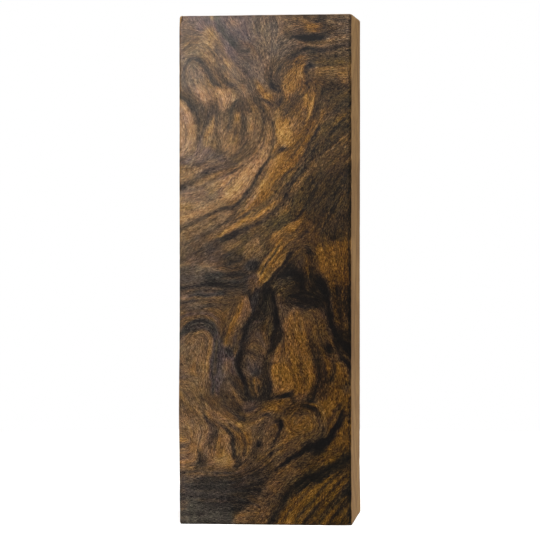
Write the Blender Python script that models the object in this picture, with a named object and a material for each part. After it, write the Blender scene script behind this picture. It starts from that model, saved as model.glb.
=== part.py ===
"""A stabilized walnut block: one sawn and sanded piece of figured walnut, standing on its end.

Metres, +Z up. The origin is the middle of the bottom end. -Y is the figured broad face.
"""

import math

import bmesh
import bpy
from mathutils import Vector

MM = 0.001

# Driving dimensions
HEIGHT = 120.0 * MM
WIDTH = 40.7 * MM
THICKNESS = 30.0 * MM

# The top end is sawn a little out of square, so its +X side stands higher.
TOP_RISE = 0.15 * MM

# Hand sanding left the two narrow sides very slightly wavy, by SIDE_WAVE at most.
SIDE_WAVE = 0.19 * MM
LEFT_SWELL_AT = 28.0 * MM
LEFT_SWELL_REACH = 14.0 * MM
RIGHT_FLARE_REACH = 12.0 * MM
LEVELS = 30

# Every long edge is eased, and each corner is worn off by its own small flat.
ARRIS = 0.35 * MM
ARRIS_SEGMENTS = 3
SHARP_EDGE = math.radians(60)

# Which corner (signs of X, Y, Z), then how far the flat runs along X, Y and Z from it.
WORN_CORNERS = (
    ((-1, -1, 1), (0.95 * MM, 1.50 * MM, 3.30 * MM)),
    ((1, -1, 1), (0.90 * MM, 0.80 * MM, 0.70 * MM)),
    ((1, -1, -1), (4.00 * MM, 1.20 * MM, 0.75 * MM)),
    ((-1, -1, -1), (0.80 * MM, 0.90 * MM, 0.80 * MM)),
    ((1, 1, 1), (1.00 * MM, 0.90 * MM, 0.80 * MM)),
    ((-1, 1, 1), (0.85 * MM, 1.10 * MM, 1.30 * MM)),
    ((1, 1, -1), (0.90 * MM, 0.80 * MM, 1.10 * MM)),
    ((-1, 1, -1), (1.20 * MM, 0.90 * MM, 0.80 * MM)),
)

# Finishes of the oiled broad faces and of the dry sawn sides and ends
BROAD_FACE_COLOUR = (0.105, 0.062, 0.032, 1.0)
BROAD_FACE_ROUGHNESS = 0.42
SAWN_FACE_COLOUR = (0.270, 0.160, 0.070, 1.0)
SAWN_FACE_ROUGHNESS = 0.75
NEARLY_ALONG = 0.9


def clear_scene():
    for old in list(bpy.data.objects):
        bpy.data.objects.remove(old)


def finish(name, colour, roughness):
    """A plain, non-metallic wood finish."""
    material = bpy.data.materials.new(name)
    material.use_nodes = True
    shader = material.node_tree.nodes["Principled BSDF"]
    shader.inputs["Base Color"].default_value = colour
    shader.inputs["Roughness"].default_value = roughness
    shader.inputs["Metallic"].default_value = 0.0
    material.diffuse_color = colour
    return material


def side_at(side, z):
    """The x of the left (-1) or right (+1) side at height z."""
    if side < 0:
        swell = math.exp(-(((z - LEFT_SWELL_AT) / LEFT_SWELL_REACH) ** 2))
        return -(WIDTH / 2 + SIDE_WAVE * swell)
    flare = max(0.0, 1 - z / RIGHT_FLARE_REACH)
    return WIDTH / 2 + SIDE_WAVE * flare * flare * (3 - 2 * flare)


def top_at(x):
    """The height of the top end at x."""
    return HEIGHT + TOP_RISE * x / (WIDTH / 2)


def add_levels(block):
    """Cuts the sides into LEVELS bands, so that they can follow their waves."""
    for level in range(1, LEVELS):
        block_faces = block.verts[:] + block.edges[:] + block.faces[:]
        height = Vector((0, 0, HEIGHT * level / LEVELS))
        bmesh.ops.bisect_plane(block, geom=block_faces, plane_co=height, plane_no=(0, 0, 1))


def shape_sides_and_top(block):
    for vertex in block.verts:
        if vertex.co.z > HEIGHT - MM:
            vertex.co.z = top_at(vertex.co.x)
        vertex.co.x = side_at(math.copysign(1, vertex.co.x), vertex.co.z)


def ease_edges(block):
    sharp = [e for e in block.edges if e.calc_face_angle(0) > SHARP_EDGE]
    bmesh.ops.bevel(
        block,
        geom=sharp,
        offset=ARRIS,
        offset_type="OFFSET",
        segments=ARRIS_SEGMENTS,
        profile=0.5,
        affect="EDGES",
    )


def wear_corner(block, signs, reach):
    """Slices one corner off by the plane that meets its three edges at these distances."""
    end = top_at(signs[0] * WIDTH / 2) if signs[2] > 0 else 0.0
    corner = Vector((side_at(signs[0], end), signs[1] * THICKNESS / 2, end))
    outward = Vector([sign / length for sign, length in zip(signs, reach)]).normalized()
    on_plane = corner - Vector((signs[0] * reach[0], 0, 0))
    cut = bmesh.ops.bisect_plane(
        block,
        geom=block.verts[:] + block.edges[:] + block.faces[:],
        plane_co=on_plane,
        plane_no=outward,
        clear_outer=True,
    )
    rim = [e for e in cut["geom_cut"] if isinstance(e, bmesh.types.BMEdge)]
    bmesh.ops.edgenet_fill(block, edges=rim)


def walnut_block():
    """The whole block, in one piece."""
    block = bmesh.new()
    bmesh.ops.create_cube(block, size=1)
    bmesh.ops.scale(block, vec=(WIDTH, THICKNESS, HEIGHT), verts=block.verts)
    bmesh.ops.translate(block, vec=(0, 0, HEIGHT / 2), verts=block.verts)
    add_levels(block)
    shape_sides_and_top(block)
    ease_edges(block)
    for signs, reach in WORN_CORNERS:
        wear_corner(block, signs, reach)
    bmesh.ops.recalc_face_normals(block, faces=block.faces)
    for face in block.faces:
        face.material_index = 0 if abs(face.normal.y) > NEARLY_ALONG else 1
    mesh = bpy.data.meshes.new("walnut_block")
    block.to_mesh(mesh)
    block.free()
    mesh.materials.append(finish("oiled_walnut", BROAD_FACE_COLOUR, BROAD_FACE_ROUGHNESS))
    mesh.materials.append(finish("sawn_walnut", SAWN_FACE_COLOUR, SAWN_FACE_ROUGHNESS))
    mesh.shade_smooth()
    mesh.set_sharp_from_angle(angle=math.radians(20))
    made = bpy.data.objects.new("walnut_block", mesh)
    bpy.context.scene.collection.objects.link(made)
    return made


clear_scene()
walnut_block()
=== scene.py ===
"""The looks of the stabilized walnut block: one closed mesh with its grain figure, on a white stage.

Lengths are in metres unless a name ends in _MM. The figure is painted in millimetres on the broad
face: x runs from its left edge and z from its bottom end.
"""

import math

import bpy
import numpy as np
from mathutils import Matrix, Vector
from mathutils.bvhtree import BVHTree


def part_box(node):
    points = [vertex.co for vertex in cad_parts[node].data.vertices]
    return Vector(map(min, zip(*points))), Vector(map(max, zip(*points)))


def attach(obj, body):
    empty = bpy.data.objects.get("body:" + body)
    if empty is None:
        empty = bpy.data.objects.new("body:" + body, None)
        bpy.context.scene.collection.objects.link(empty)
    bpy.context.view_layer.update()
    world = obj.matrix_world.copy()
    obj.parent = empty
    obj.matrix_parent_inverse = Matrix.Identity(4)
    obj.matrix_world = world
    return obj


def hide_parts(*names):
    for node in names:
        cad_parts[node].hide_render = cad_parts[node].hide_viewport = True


MM = 0.001

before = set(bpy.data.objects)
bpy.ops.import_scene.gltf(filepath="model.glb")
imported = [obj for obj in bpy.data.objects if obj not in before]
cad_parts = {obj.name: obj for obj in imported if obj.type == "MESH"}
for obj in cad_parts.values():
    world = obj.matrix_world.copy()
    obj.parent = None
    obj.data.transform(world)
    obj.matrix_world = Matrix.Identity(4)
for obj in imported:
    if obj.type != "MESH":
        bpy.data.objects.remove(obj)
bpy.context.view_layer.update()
low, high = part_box("walnut_block")
WIDTH_MM = (high.x - low.x) / MM
DEPTH_MM = (high.y - low.y) / MM
HEIGHT_MM = (high.z - low.z) / MM

# Tones of the figure: how light (0 to 1, as the eye sees it), how warm (0 grey, 1 orange) and which
# way its hue leans (-1 purple, 1 green)
INK = (0.098, 0.40, 0.3)
SOOT = (0.130, 0.40, 0.4)
DUSK = (0.150, 0.10, 0.2)
SLATE = (0.200, 0.10, 0.6)
CHAR = (0.165, 0.50, 0.5)
UMBER = (0.205, 0.65, 0.3)
OLIVE = (0.235, 0.60, 1.2)
BROWN = (0.270, 0.75, 0.2)
ASH = (0.300, 0.15, 0.4)
MAUVE = (0.305, 0.30, -0.8)
WALNUT = (0.320, 0.72, 0.2)
TAUPE = (0.340, 0.50, 0.0)
RUST = (0.340, 1.00, -0.3)
TAN = (0.395, 0.72, 0.2)
AMBER = (0.405, 0.98, 0.0)
PEACH = (0.460, 0.75, -0.3)
GOLD = (0.475, 0.98, 0.1)
PALE = (0.540, 0.85, 0.4)


def smoothstep(value):
    value = np.clip(value, 0.0, 1.0)
    return value * value * (3 - 2 * value)


def ramp(value, start, end):
    """0 up to the start, 1 from the end on and smooth between. The end may be the lower one."""
    return smoothstep((value - start) / (end - start))


def soft_noise(x, z, size, seed):
    """Smooth noise from -1 to 1 at places in millimetres, with features of this size."""
    columns = int(WIDTH_MM / size) + 4
    rows = int(HEIGHT_MM / size) + 4
    knots = np.random.default_rng(seed).uniform(-1, 1, (rows, columns))
    u = np.clip(x / size + 1, 0, columns - 1.001)
    v = np.clip(z / size + 1, 0, rows - 1.001)
    left = u.astype(int)
    below = v.astype(int)
    across = smoothstep(u - left)
    up = smoothstep(v - below)
    low_row = knots[below, left] * (1 - across) + knots[below, left + 1] * across
    high_row = knots[below + 1, left] * (1 - across) + knots[below + 1, left + 1] * across
    return low_row * (1 - up) + high_row * up


def curve_through(points, closed=False, step=0.4):
    """A smooth line through given points, as short straight runs of about this step."""
    points = np.array(points, float)
    if closed:
        points = np.vstack((points[-1], points, points[0], points[1]))
    else:
        points = np.vstack((2 * points[0] - points[1], points, 2 * points[-1] - points[-2]))
    line = []
    for before, start, end, after in zip(points, points[1:], points[2:], points[3:]):
        count = max(1, int(np.linalg.norm(end - start) / step + 0.5))
        for t in np.arange(count) / count:
            leaving = (end - before) / 2
            arriving = (after - start) / 2
            turn = 2 * t**3 - 3 * t**2
            line.append(
                start * (turn + 1)
                + end * -turn
                + leaving * (t**3 - 2 * t**2 + t)
                + arriving * (t**3 - t**2)
            )
    line.append(points[-2])
    return np.array(line)


def nearest_on(line, x, z):
    """For each place: its distance from the line, which side it is on (1 left) and how far along."""
    start = line[:-1]
    run = line[1:] - start
    squares = np.maximum((run**2).sum(1), 1e-12)
    from_x = x[:, None] - start[:, 0]
    from_z = z[:, None] - start[:, 1]
    share = np.clip((from_x * run[:, 0] + from_z * run[:, 1]) / squares, 0, 1)
    gaps = (from_x - share * run[:, 0]) ** 2 + (from_z - share * run[:, 1]) ** 2
    best = gaps.argmin(1)
    rows = np.arange(len(x))
    side = np.sign(run[best, 0] * from_z[rows, best] - run[best, 1] * from_x[rows, best])
    lengths = np.sqrt(squares)
    travelled = np.concatenate(([0], np.cumsum(lengths)))
    along = (travelled[best] + share[rows, best] * lengths[best]) / travelled[-1]
    return np.sqrt(gaps[rows, best]), side, along


def inside(line, x, z):
    """Whether each place lies inside a closed line."""
    found = np.zeros(len(x), bool)
    for start, end in zip(line, line[1:]):
        spans = (start[1] > z) != (end[1] > z)
        slope = (end[0] - start[0]) / (end[1] - start[1] + 1e-12)
        found ^= spans & (x < start[0] + (z - start[1]) * slope)
    return found


class Figure:
    """The figure of the broad face, painted stroke by stroke on a fine raster.

    Each cell has a tone, a warmth, a hue, the strength of its fleck, and the way its grain runs (as the
    cosine and sine of the doubled angle). All lengths here are in millimetres.
    """

    CELL = 0.15
    TILE = 1.0
    # Size, reach and seed of the shifts that keep every drawn edge a little uneven
    WANDER = ((1.6, 0.22, 11), (0.6, 0.10, 13))
    # How much the width and the cover of a vein vary along it
    WIDTH_VARIES = 0.45
    COVER_VARIES = 0.16
    # How strong a wash is where it starts, and how many times its length it is followed
    WASH_STRENGTH = 0.75
    WASH_REACH = 2.2
    # Size across the grain, length along it, and strength
    STREAKS = ((0.22, 3.5, 0.030), (0.45, 6.0, 0.018), (0.90, 9.0, 0.010))
    WISPS = ((0.45, 2.5, 0.012), (0.90, 4.0, 0.012))
    # Size across the grain, length along it, how close the growth lines lie, and strength
    GROWTH = ((1.8, 10.0, 1.0, 0.12), (0.9, 7.0, 0.7, 0.09))
    # Size and strength
    MOTTLES = ((1.10, 0.005), (2.60, 0.012))
    # How much of the painting's tone is combed along the grain, and the limits of the finished values
    COMBED_SHARE = 0.3
    TONE_LIMITS = (0.03, 0.9)
    WARMTH_LIMITS = (0.0, 1.08)

    def __init__(self):
        self.columns = int(WIDTH_MM / self.CELL) + 2
        self.rows = int(HEIGHT_MM / self.CELL) + 2
        z, x = np.mgrid[0 : self.rows, 0 : self.columns] * self.CELL
        self.x = x.ravel()
        self.z = z.ravel()
        # Places are shifted a little before painting, so that no drawn edge stays perfectly smooth.
        self.warped_x = self.x.copy()
        self.warped_z = self.z.copy()
        for size, reach, seed in self.WANDER:
            self.warped_x += reach * soft_noise(self.x, self.z, size, seed)
            self.warped_z += reach * soft_noise(self.x, self.z, size, seed + 1)
        self.uneven = soft_noise(self.x, self.z, 1.3, 15)
        self.tone, self.warmth, self.hue = (np.full(len(self.x), part) for part in WALNUT)
        self.hints = []

    def near(self, line, margin, filled=False):
        """The cells that a stroke with this line and margin can reach."""
        low_corner = line.min(0) - margin
        high_corner = line.max(0) + margin
        found = (self.x > low_corner[0]) & (self.x < high_corner[0])
        found &= (self.z > low_corner[1]) & (self.z < high_corner[1])
        cells = np.nonzero(found)[0]
        if filled or not len(cells):
            return cells
        tile_x = (self.x[cells] / self.TILE).astype(int)
        tile_z = (self.z[cells] / self.TILE).astype(int)
        tiles_across = int(WIDTH_MM / self.TILE) + 2
        keys = tile_z * tiles_across + tile_x
        kept, place = np.unique(keys, return_inverse=True)
        centre_x = (kept % tiles_across + 0.5) * self.TILE
        centre_z = (kept // tiles_across + 0.5) * self.TILE
        close = nearest_on(line, centre_x, centre_z)[0] < margin + self.TILE
        return cells[close[place]]

    def lay(self, cells, cover, tone):
        for plane, part in zip((self.tone, self.warmth, self.hue), tone):
            plane[cells] += (part - plane[cells]) * cover

    def grain(self, *points):
        """Only says which way the grain runs along these points."""
        line = curve_through(points, step=1.0)
        run = line[1:] - line[:-1]
        middle = (line[1:] + line[:-1]) / 2
        angle = np.arctan2(run[:, 1], run[:, 0])
        self.hints.append(np.column_stack((middle, angle)))

    def patch(self, tone, soft, strength, *points):
        """A closed area of one tone, with an edge this soft."""
        line = curve_through(points, closed=True)
        cells = self.near(line, soft + 1, filled=True)
        x = self.warped_x[cells]
        z = self.warped_z[cells]
        distance = nearest_on(line, x, z)[0]
        signed = np.where(inside(line, x, z), distance, -distance)
        self.lay(cells, strength * smoothstep(0.5 + signed / (2 * soft)), tone)

    def vein(self, tone, width, soft, strength, *points, wash=0.0):
        """A line of one tone, `width` mm to each side of its middle (a number, or a few spread along it).

        A wash fades out over that many mm on one side: the left of its run, or the right if negative.
        """
        self.grain(*points)
        line = curve_through(points)
        widths = np.atleast_1d(width).astype(float)
        margin = widths.max() + soft + self.WASH_REACH * abs(wash) + 0.6
        cells = self.near(line, margin)
        distance, side, along = nearest_on(line, self.warped_x[cells], self.warped_z[cells])
        half = np.interp(along, np.linspace(0, 1, len(widths)), widths)
        half = half * (1 + self.WIDTH_VARIES * self.uneven[cells])
        past = distance - half
        cover = smoothstep(0.5 - past / (2 * soft)) * (0.92 + self.COVER_VARIES * self.uneven[cells])
        if wash:
            washed = self.WASH_STRENGTH * np.exp(-np.maximum(past, 0) / abs(wash))
            washed = washed * smoothstep(1.3 - past / (2 * abs(wash)))
            on_side = smoothstep(0.5 + side * math.copysign(1, wash) * distance / (2 * soft))
            cover = np.maximum(cover, washed * on_side)
        self.lay(cells, strength * cover, tone)

    def spot(self, tone, soft, strength, middle, across, up, turn=0.0):
        """An oval spot, this many mm across and up from its middle, turned by some degrees."""
        x, z = middle
        cells = self.near(np.array([middle]), max(across, up) + soft + 1, filled=True)
        c = math.cos(math.radians(turn))
        s = math.sin(math.radians(turn))
        dx = self.warped_x[cells] - x
        dz = self.warped_z[cells] - z
        reach = np.hypot((dx * c + dz * s) / across, (dz * c - dx * s) / up)
        size = min(across, up)
        self.lay(cells, strength * smoothstep(0.5 - (reach - 1) * size / (2 * soft)), tone)

    def settle_grain(self):
        """Spreads the grain directions from all strokes over the face, as doubled angles."""
        hints = np.vstack(self.hints)
        rows = int(HEIGHT_MM / self.TILE) + 2
        columns = int(WIDTH_MM / self.TILE) + 2
        z, x = np.mgrid[0:rows, 0:columns] * self.TILE
        gaps = (x.ravel()[:, None] - hints[:, 0]) ** 2 + (z.ravel()[:, None] - hints[:, 1]) ** 2
        weights = 1 / (gaps + 2.0) ** 1.7
        cosine = (weights * np.cos(2 * hints[:, 2])).sum(1)
        sine = (weights * np.sin(2 * hints[:, 2])).sum(1)
        size = np.maximum(np.hypot(cosine, sine), 1e-9)
        coarse = np.stack((cosine / size, sine / size)).reshape(2, rows, columns)
        fine = [between(plane, self.x / self.TILE, self.z / self.TILE) for plane in coarse]
        size = np.maximum(np.hypot(*fine), 1e-9)
        self.cosine = fine[0] / size
        self.sine = fine[1] / size

    def combed(self, values, reach):
        """Averages a field along the grain, over this many mm each way."""
        plane = values.reshape(self.rows, self.columns)
        cosine = self.cosine.reshape(self.rows, self.columns)
        sine = self.sine.reshape(self.rows, self.columns)
        step = self.CELL * 1.4
        total = values.copy()
        weight_sum = 1.0
        for way in (-1, 1):
            x = self.x.copy()
            z = self.z.copy()
            old_x = way * np.cos(np.arctan2(self.sine, self.cosine) / 2)
            old_z = way * np.sin(np.arctan2(self.sine, self.cosine) / 2)
            for stride in range(1, int(reach / step) + 1):
                x = x + old_x * step
                z = z + old_z * step
                c = between(cosine, x / self.CELL, z / self.CELL)
                s = between(sine, x / self.CELL, z / self.CELL)
                angle = np.arctan2(s, c) / 2
                new_x = np.cos(angle)
                new_z = np.sin(angle)
                keep = np.where(new_x * old_x + new_z * old_z < 0, -1.0, 1.0)
                old_x = new_x * keep
                old_z = new_z * keep
                weight = 0.5 + 0.5 * math.cos(math.pi * stride * step / reach)
                total += weight * between(plane, x / self.CELL, z / self.CELL)
                weight_sum += weight
        return total / weight_sum

    def deepen(self):
        """Broad shifts: darker to the foot and the right, and greener low on the right."""
        low_down = ramp(self.z, 78, 50)
        right = ramp(self.x, 0, 34)
        self.tone *= (1 - 0.20 * right) * (1 - low_down * (0.17 + 0.16 * right))
        self.tone -= 0.060 * ramp(self.x, 15, 30) * ramp(self.tone, 0.30, 0.10)
        self.fleck = 1.00 + 0.40 * ramp(self.x, 12, 26) + 0.15 * soft_noise(self.x, self.z, 2.2, 17)
        waist = np.exp(-(((self.z - 61) / 8) ** 2))
        shoulder = np.exp(-(((self.z - 80) / 10) ** 2))
        self.warmth += 0.12 * ramp(self.x, 0, 38) - 0.05 - 0.10 * waist * ramp(self.x, 16, 4)
        self.warmth += 0.08 * shoulder * ramp(self.x, 18, 28)
        self.hue += 0.5 * ramp(self.z, 26, 12) * ramp(self.x, 22, 34)

    def add_streaks(self):
        """Combs the painting along the grain, then adds the fine lines and the mottling of the wood."""
        self.tone = self.tone + self.COMBED_SHARE * (self.combed(self.tone, 0.8) - self.tone)
        self.warmth = self.combed(self.warmth, 1.2)
        for size, reach, strength in self.WISPS:
            wisps = self.combed(self.noise(size, 8), reach)
            wisps = np.clip(wisps / wisps.std(), -0.5, 2.5)
            self.tone = self.tone + strength * wisps * ramp(self.tone, 0.27, 0.12)
        gain = 0.3 + 1.9 * self.tone
        for size, reach, strength in self.STREAKS:
            streaks = self.combed(self.noise(size, 0), reach)
            streaks /= streaks.std()
            self.tone = self.tone + strength * streaks * gain * self.fleck
            self.warmth = self.warmth + 0.03 * streaks
        self.add_growth_lines(gain)
        for size, strength in self.MOTTLES:
            self.tone = self.tone + strength * self.noise(size, 5) * gain
            self.warmth = self.warmth + 0.05 * self.noise(size, 6)
            self.hue = self.hue + 0.25 * self.noise(size, 7)
        self.tone = np.clip(self.tone, *self.TONE_LIMITS)
        self.warmth = np.clip(0.55 + 1.25 * (self.warmth - 0.66), *self.WARMTH_LIMITS)
        self.hue = self.hue - 0.02

    def noise(self, size, salt):
        return soft_noise(self.x, self.z, size, int(100 * size) + salt)

    def add_growth_lines(self, gain):
        """Dark lines along the grain: each fades in slowly and ends sharply, like late wood."""
        for size, reach, crowding, strength in self.GROWTH:
            field = self.combed(self.noise(size, 31), reach)
            season = (crowding * field / field.std()) % 1.0
            late = np.minimum((1 - season) ** 2.5, 8 * season)
            here_and_there = soft_noise(self.x, self.z, 5.0, int(100 * size) + 32)
            shown = np.clip(0.55 + 0.9 * here_and_there, 0, 1)
            self.tone = self.tone - strength * (late - 0.25) * shown * gain


def between(plane, u, v):
    """Bilinear lookup in a plane, at fractional columns u and rows v."""
    rows, columns = plane.shape
    u = np.clip(u, 0, columns - 1.001)
    v = np.clip(v, 0, rows - 1.001)
    left = u.astype(int)
    below = v.astype(int)
    across = u - left
    up = v - below
    low_row = plane[below, left] * (1 - across) + plane[below, left + 1] * across
    high_row = plane[below + 1, left] * (1 - across) + plane[below + 1, left + 1] * across
    return low_row * (1 - up) + high_row * up


def paint_top(figure):
    """From the top end down to about z 95: grey-brown, with two dark arcs on the right. The grey at the top
    is partly the wood's own tone and partly painted sheen.
    """
    patch, vein, spot, grain = figure.patch, figure.vein, figure.spot, figure.grain
    # Grey-mauve over the top end: partly the wood's own tone, partly painted sheen
    patch(MAUVE, 2, 1, (-2, 122), (18, 122), (30, 122), (27, 112), (21, 104), (14, 108), (4, 112),
          (-2, 107))
    patch(TAUPE, 1.5, 1, (20, 122), (43, 122), (43, 110), (34, 111), (24, 108), (19, 105), (17, 112))
    patch(TAN, 0.8, 1, (3, 113), (6, 116.5), (8.5, 117), (10, 113), (12.5, 109), (15, 105), (13, 104.5),
          (9, 108), (6, 110))
    patch(TAN, 1, 1, (1, 103), (3, 108), (6, 107.5), (9, 102), (9.5, 98), (8, 97), (5, 98),
          (3.5, 100.5))
    patch(PEACH, 1, 1, (2.5, 103.5), (5, 103.5), (8, 99), (7.5, 97.5), (5, 98.8))
    patch(PEACH, 0.8, 1, (9, 102.7), (12.5, 102), (14, 100.5), (12, 98.6), (10.3, 96.8), (9.7, 99.5))
    grain((2, 112), (5, 114), (8, 113), (11, 109), (14, 105))
    grain((17, 120), (18, 115), (21, 112), (22, 107))
    grain((22, 119), (23, 116.5), (24.5, 116), (26, 117.5))
    grain((36, 119), (38, 117.5), (40.5, 117))
    grain((32, 106.5), (36, 106), (40.5, 105.5))
    spot(PALE, 0.4, 0.8, (8, 119.4), 0.55, 0.9)
    spot(PEACH, 0.9, 0.6, (13, 118.2), 1.9, 1, turn=-15)
    spot(TAN, 1.2, 0.5, (7.4, 114.8), 1.6, 1.6)
    spot(RUST, 0.6, 0.4, (16.2, 112.8), 1.5, 0.6, turn=-25)
    vein(PALE, (0.3, 0.5, 0.3), 0.5, 0.5, (11.2, 109.2), (12.3, 107.6), (13.5, 106), (14.8, 104.8))
    vein(PEACH, 0.4, 0.6, 0.5, (3.6, 113.8), (5, 112.6), (7.3, 110.2))
    vein(SLATE, (0.25, 0.5, 0.3), 0.35, 1, (8.9, 120.5), (9.2, 118.6), (10.2, 116.5), (11.3, 114.8),
         (12.6, 113.6), (13.8, 111.8), (15, 111.1), (16.6, 111.4), wash=0.6)
    vein(SOOT, 0.25, 0.4, 0.6, (11.5, 114.4), (12.8, 113.2), (13.9, 111.6))
    spot(SOOT, 0.4, 0.8, (15.6, 111.5), 1, 0.4)
    spot(SLATE, 0.9, 0.8, (16.1, 108.3), 0.9, 1.5)
    vein(SOOT, (0.25, 0.3, 0.4, 0.3), 0.35, 1, (1.6, 107), (2, 108.6), (3.2, 109.7), (5, 109.2),
         (6.2, 108.2), (7, 106.7), (7.6, 105.2), (8.4, 103.9), (9.7, 103.3), wash=0.5)
    vein(PALE, 0.15, 0.3, 0.6, (6.2, 107.2), (7.1, 105.2), (8.1, 103.2), (9.2, 101.3))
    vein(BROWN, 0.15, 0.3, 0.7, (5.8, 107.2), (6.7, 105), (7.8, 102.7), (8.8, 100.7), (9.4, 98.8))
    vein(CHAR, (0.15, 0.3, 0.2), 0.35, 0.8, (6.5, 112.8), (8, 111.2), (9, 109.3), (9.7, 107.7),
         (10.2, 106), (11, 104.6), (12.5, 103.6), (14, 103.5), (15.2, 104.1))
    spot(DUSK, 0.5, 0.8, (9.1, 111.8), 0.7, 0.6, turn=-45)
    spot(SLATE, 0.4, 0.7, (10.7, 107.6), 0.4, 0.5)
    spot(SLATE, 0.5, 0.7, (13.2, 103.8), 1, 0.4)
    patch(CHAR, 0.5, 1, (-1, 102.5), (1.5, 101.3), (2.7, 100.2), (3.6, 98.3), (4.3, 95.8), (5.4, 94.2),
          (3.9, 94.9), (3.2, 97.3), (2, 99.5), (0, 100.6), (-1, 100.5))
    vein(INK, (0.2, 0.5, 0.7, 0.4), 0.5, 1, (0.8, 100.9), (2.3, 99.8), (3.3, 98.4), (4, 96.5),
         (4.9, 94.8))
    vein(INK, (0.25, 0.55, 0.45, 0.25), 0.4, 1, (9.6, 97.4), (8.5, 97.3), (7.4, 96.6), (6.8, 95.4),
         (6.4, 94), (5.9, 92.2), (5.5, 91.2), wash=0.6)
    spot(DUSK, 0.4, 1, (8.6, 97.4), 0.7, 0.55)
    vein(CHAR, (0.3, 0.45, 0.3), 0.35, 1, (13.8, 100), (13.2, 99.1), (12.4, 97.8), (11.5, 96.9),
         (10.4, 96))
    patch(UMBER, 1, 1, (12, 97), (14, 99.5), (16, 101), (18, 99), (21, 97.5), (22, 94), (17, 93),
          (12, 93.5))
    spot(DUSK, 0.6, 1, (16.9, 100.8), 0.6, 1.8, turn=15)
    vein(CHAR, (0.4, 0.8, 0.5), 0.5, 1, (16.3, 103.8), (17, 101.8), (18.1, 100.2), (19.2, 99),
         (20, 97.8))
    patch(AMBER, 0.4, 1, (17.6, 104.5), (18.7, 104.8), (20.5, 102.6), (22.6, 100.2), (23.3, 98.9),
          (22.1, 98.9), (20.4, 99.8), (18.9, 101.6))
    patch(GOLD, 0.4, 0.7, (18.2, 104.2), (19.1, 103.6), (19.9, 101.6), (19.3, 101.4))
    vein(INK, (0.3, 0.7, 0.4), 0.5, 1, (21.2, 104.9), (21.9, 103.9), (22.8, 103), (23.7, 102), wash=0.6)
    vein(INK, (0.3, 0.3, 0.45, 0.3), 0.3, 1, (19.7, 100.1), (20.8, 99.7), (21.8, 99.2), (22.6, 98.5),
         (23.3, 98.7), (24, 99.7), (24.3, 100.7))
    patch(UMBER, 0.9, 0.8, (24, 106.5), (25, 108), (23, 110), (20.8, 108), (20.5, 104.5), (22.5, 104),
          (24, 103.4))
    vein(DUSK, 0.5, 0.8, 0.35, (22.3, 117.5), (22.1, 115.4), (22.7, 113.3), (22.3, 111))
    vein(TAUPE, 0.3, 0.4, 0.8, (20.7, 112.9), (21.8, 114.9), (22.8, 116.8), (24.2, 117.2),
         (24.6, 115.7))
    patch(GOLD, 0.7, 1, (24.9, 107.6), (26.6, 109.1), (28.6, 110.4), (29.7, 109), (29.2, 107),
          (29.6, 105), (29.3, 102.9), (27.4, 101.4), (25.2, 101.3), (24.4, 103), (24.6, 105.3))
    patch(AMBER, 0.8, 0.7, (25.5, 108.3), (28.6, 110.2), (29.6, 108.8), (29, 107.2), (26.8, 107.5))
    spot(PALE, 0.8, 1, (26.2, 103.2), 1.3, 0.8, turn=40)
    spot(PALE, 0.6, 0.7, (27.9, 104.5), 0.7, 1.2, turn=-20)
    spot(BROWN, 0.4, 0.7, (26, 105.1), 1.1, 0.35, turn=20)
    spot(BROWN, 0.3, 0.6, (27.4, 104.4), 0.6, 0.4)
    patch(TAN, 0.8, 1, (31, 107.4), (33, 109), (42, 108.8), (42, 104.2), (36, 103.9), (33, 104.8),
          (31, 105))
    spot(GOLD, 0.8, 0.8, (33.6, 106.4), 1.2, 0.8)
    spot(AMBER, 1, 0.6, (38, 106.2), 2.4, 1)
    patch(OLIVE, 0.5, 0.9, (30, 112.2), (34, 111.6), (42, 112.2), (42, 109.6), (36, 110), (32, 110.3))
    spot(TAN, 0.5, 0.6, (36.5, 111), 2.6, 0.4)
    vein(INK, (0.3, 0.45, 0.5, 0.35, 0.15, 0.15), 0.35, 1, (23.8, 107.4), (24.9, 108.3), (26, 109.1),
         (27, 110.2), (28.1, 110.9), (29.2, 111.7), (30.4, 112), (32, 111.8), (33.5, 111.7), (35, 111.9),
         (36.4, 112.1), (38, 112.5), (39.5, 112.6), (41.5, 112.5))
    spot(INK, 0.4, 0.8, (24.5, 108), 0.6, 0.4, turn=35)
    spot(INK, 0.4, 0.8, (27.4, 110.5), 0.8, 0.4, turn=35)
    vein(BROWN, 0.3, 0.35, 0.8, (32.5, 109.4), (34, 109.3), (36, 109.9), (38, 110.1), (41.5, 109.6))
    spot(DUSK, 0.5, 1, (31.2, 108.3), 0.9, 0.7)
    spot(INK, 0.4, 0.8, (30.4, 107.3), 0.4, 0.8)
    vein(CHAR, (0.25, 0.3, 0.5, 0.3), 0.35, 1, (29.9, 107.3), (29.8, 105.8), (30.3, 104.4),
         (30.7, 103.3), (30.1, 102), (29, 101.1), (28.1, 100.2))
    vein(UMBER, 0.8, 0.8, 0.7, (25.5, 115.8), (27.5, 115), (29.5, 115.8), (30, 116.5))
    vein(INK, (0.15, 0.35, 0.55, 0.5, 0.15), 0.4, 1, (26.2, 114.6), (28, 114.7), (29.8, 114.8),
         (31.2, 114.5), (32.8, 114.6), (34.2, 115), (35.1, 115.8))
    vein(UMBER, 0.3, 0.3, 0.9, (28.4, 113.9), (30.4, 113.5), (32.5, 113.4), (34.2, 113.9))
    vein(PEACH, (0.12, 0.2, 0.25, 0.2, 0.25), 0.25, 1, (26.8, 114), (28.5, 113.4), (30.2, 113),
         (31.7, 112.7), (33.2, 112.7), (34.6, 113.1), (35.6, 113.8), (37, 114.5), (39.5, 115))
    patch(UMBER, 0.6, 1, (29.5, 122), (29.6, 118.9), (31, 118.5), (35, 118.9), (35.5, 122))
    patch(AMBER, 0.4, 1, (28.9, 119), (30, 118.7), (31.2, 118.3), (33, 118.1), (34.3, 118.2),
          (34.4, 116.7), (33, 115.9), (31, 115.9), (30, 116.7), (29.3, 117.8))
    patch(GOLD, 0.4, 1, (29.2, 118.6), (30.2, 118.3), (31.2, 116.6), (30.2, 117))
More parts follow.
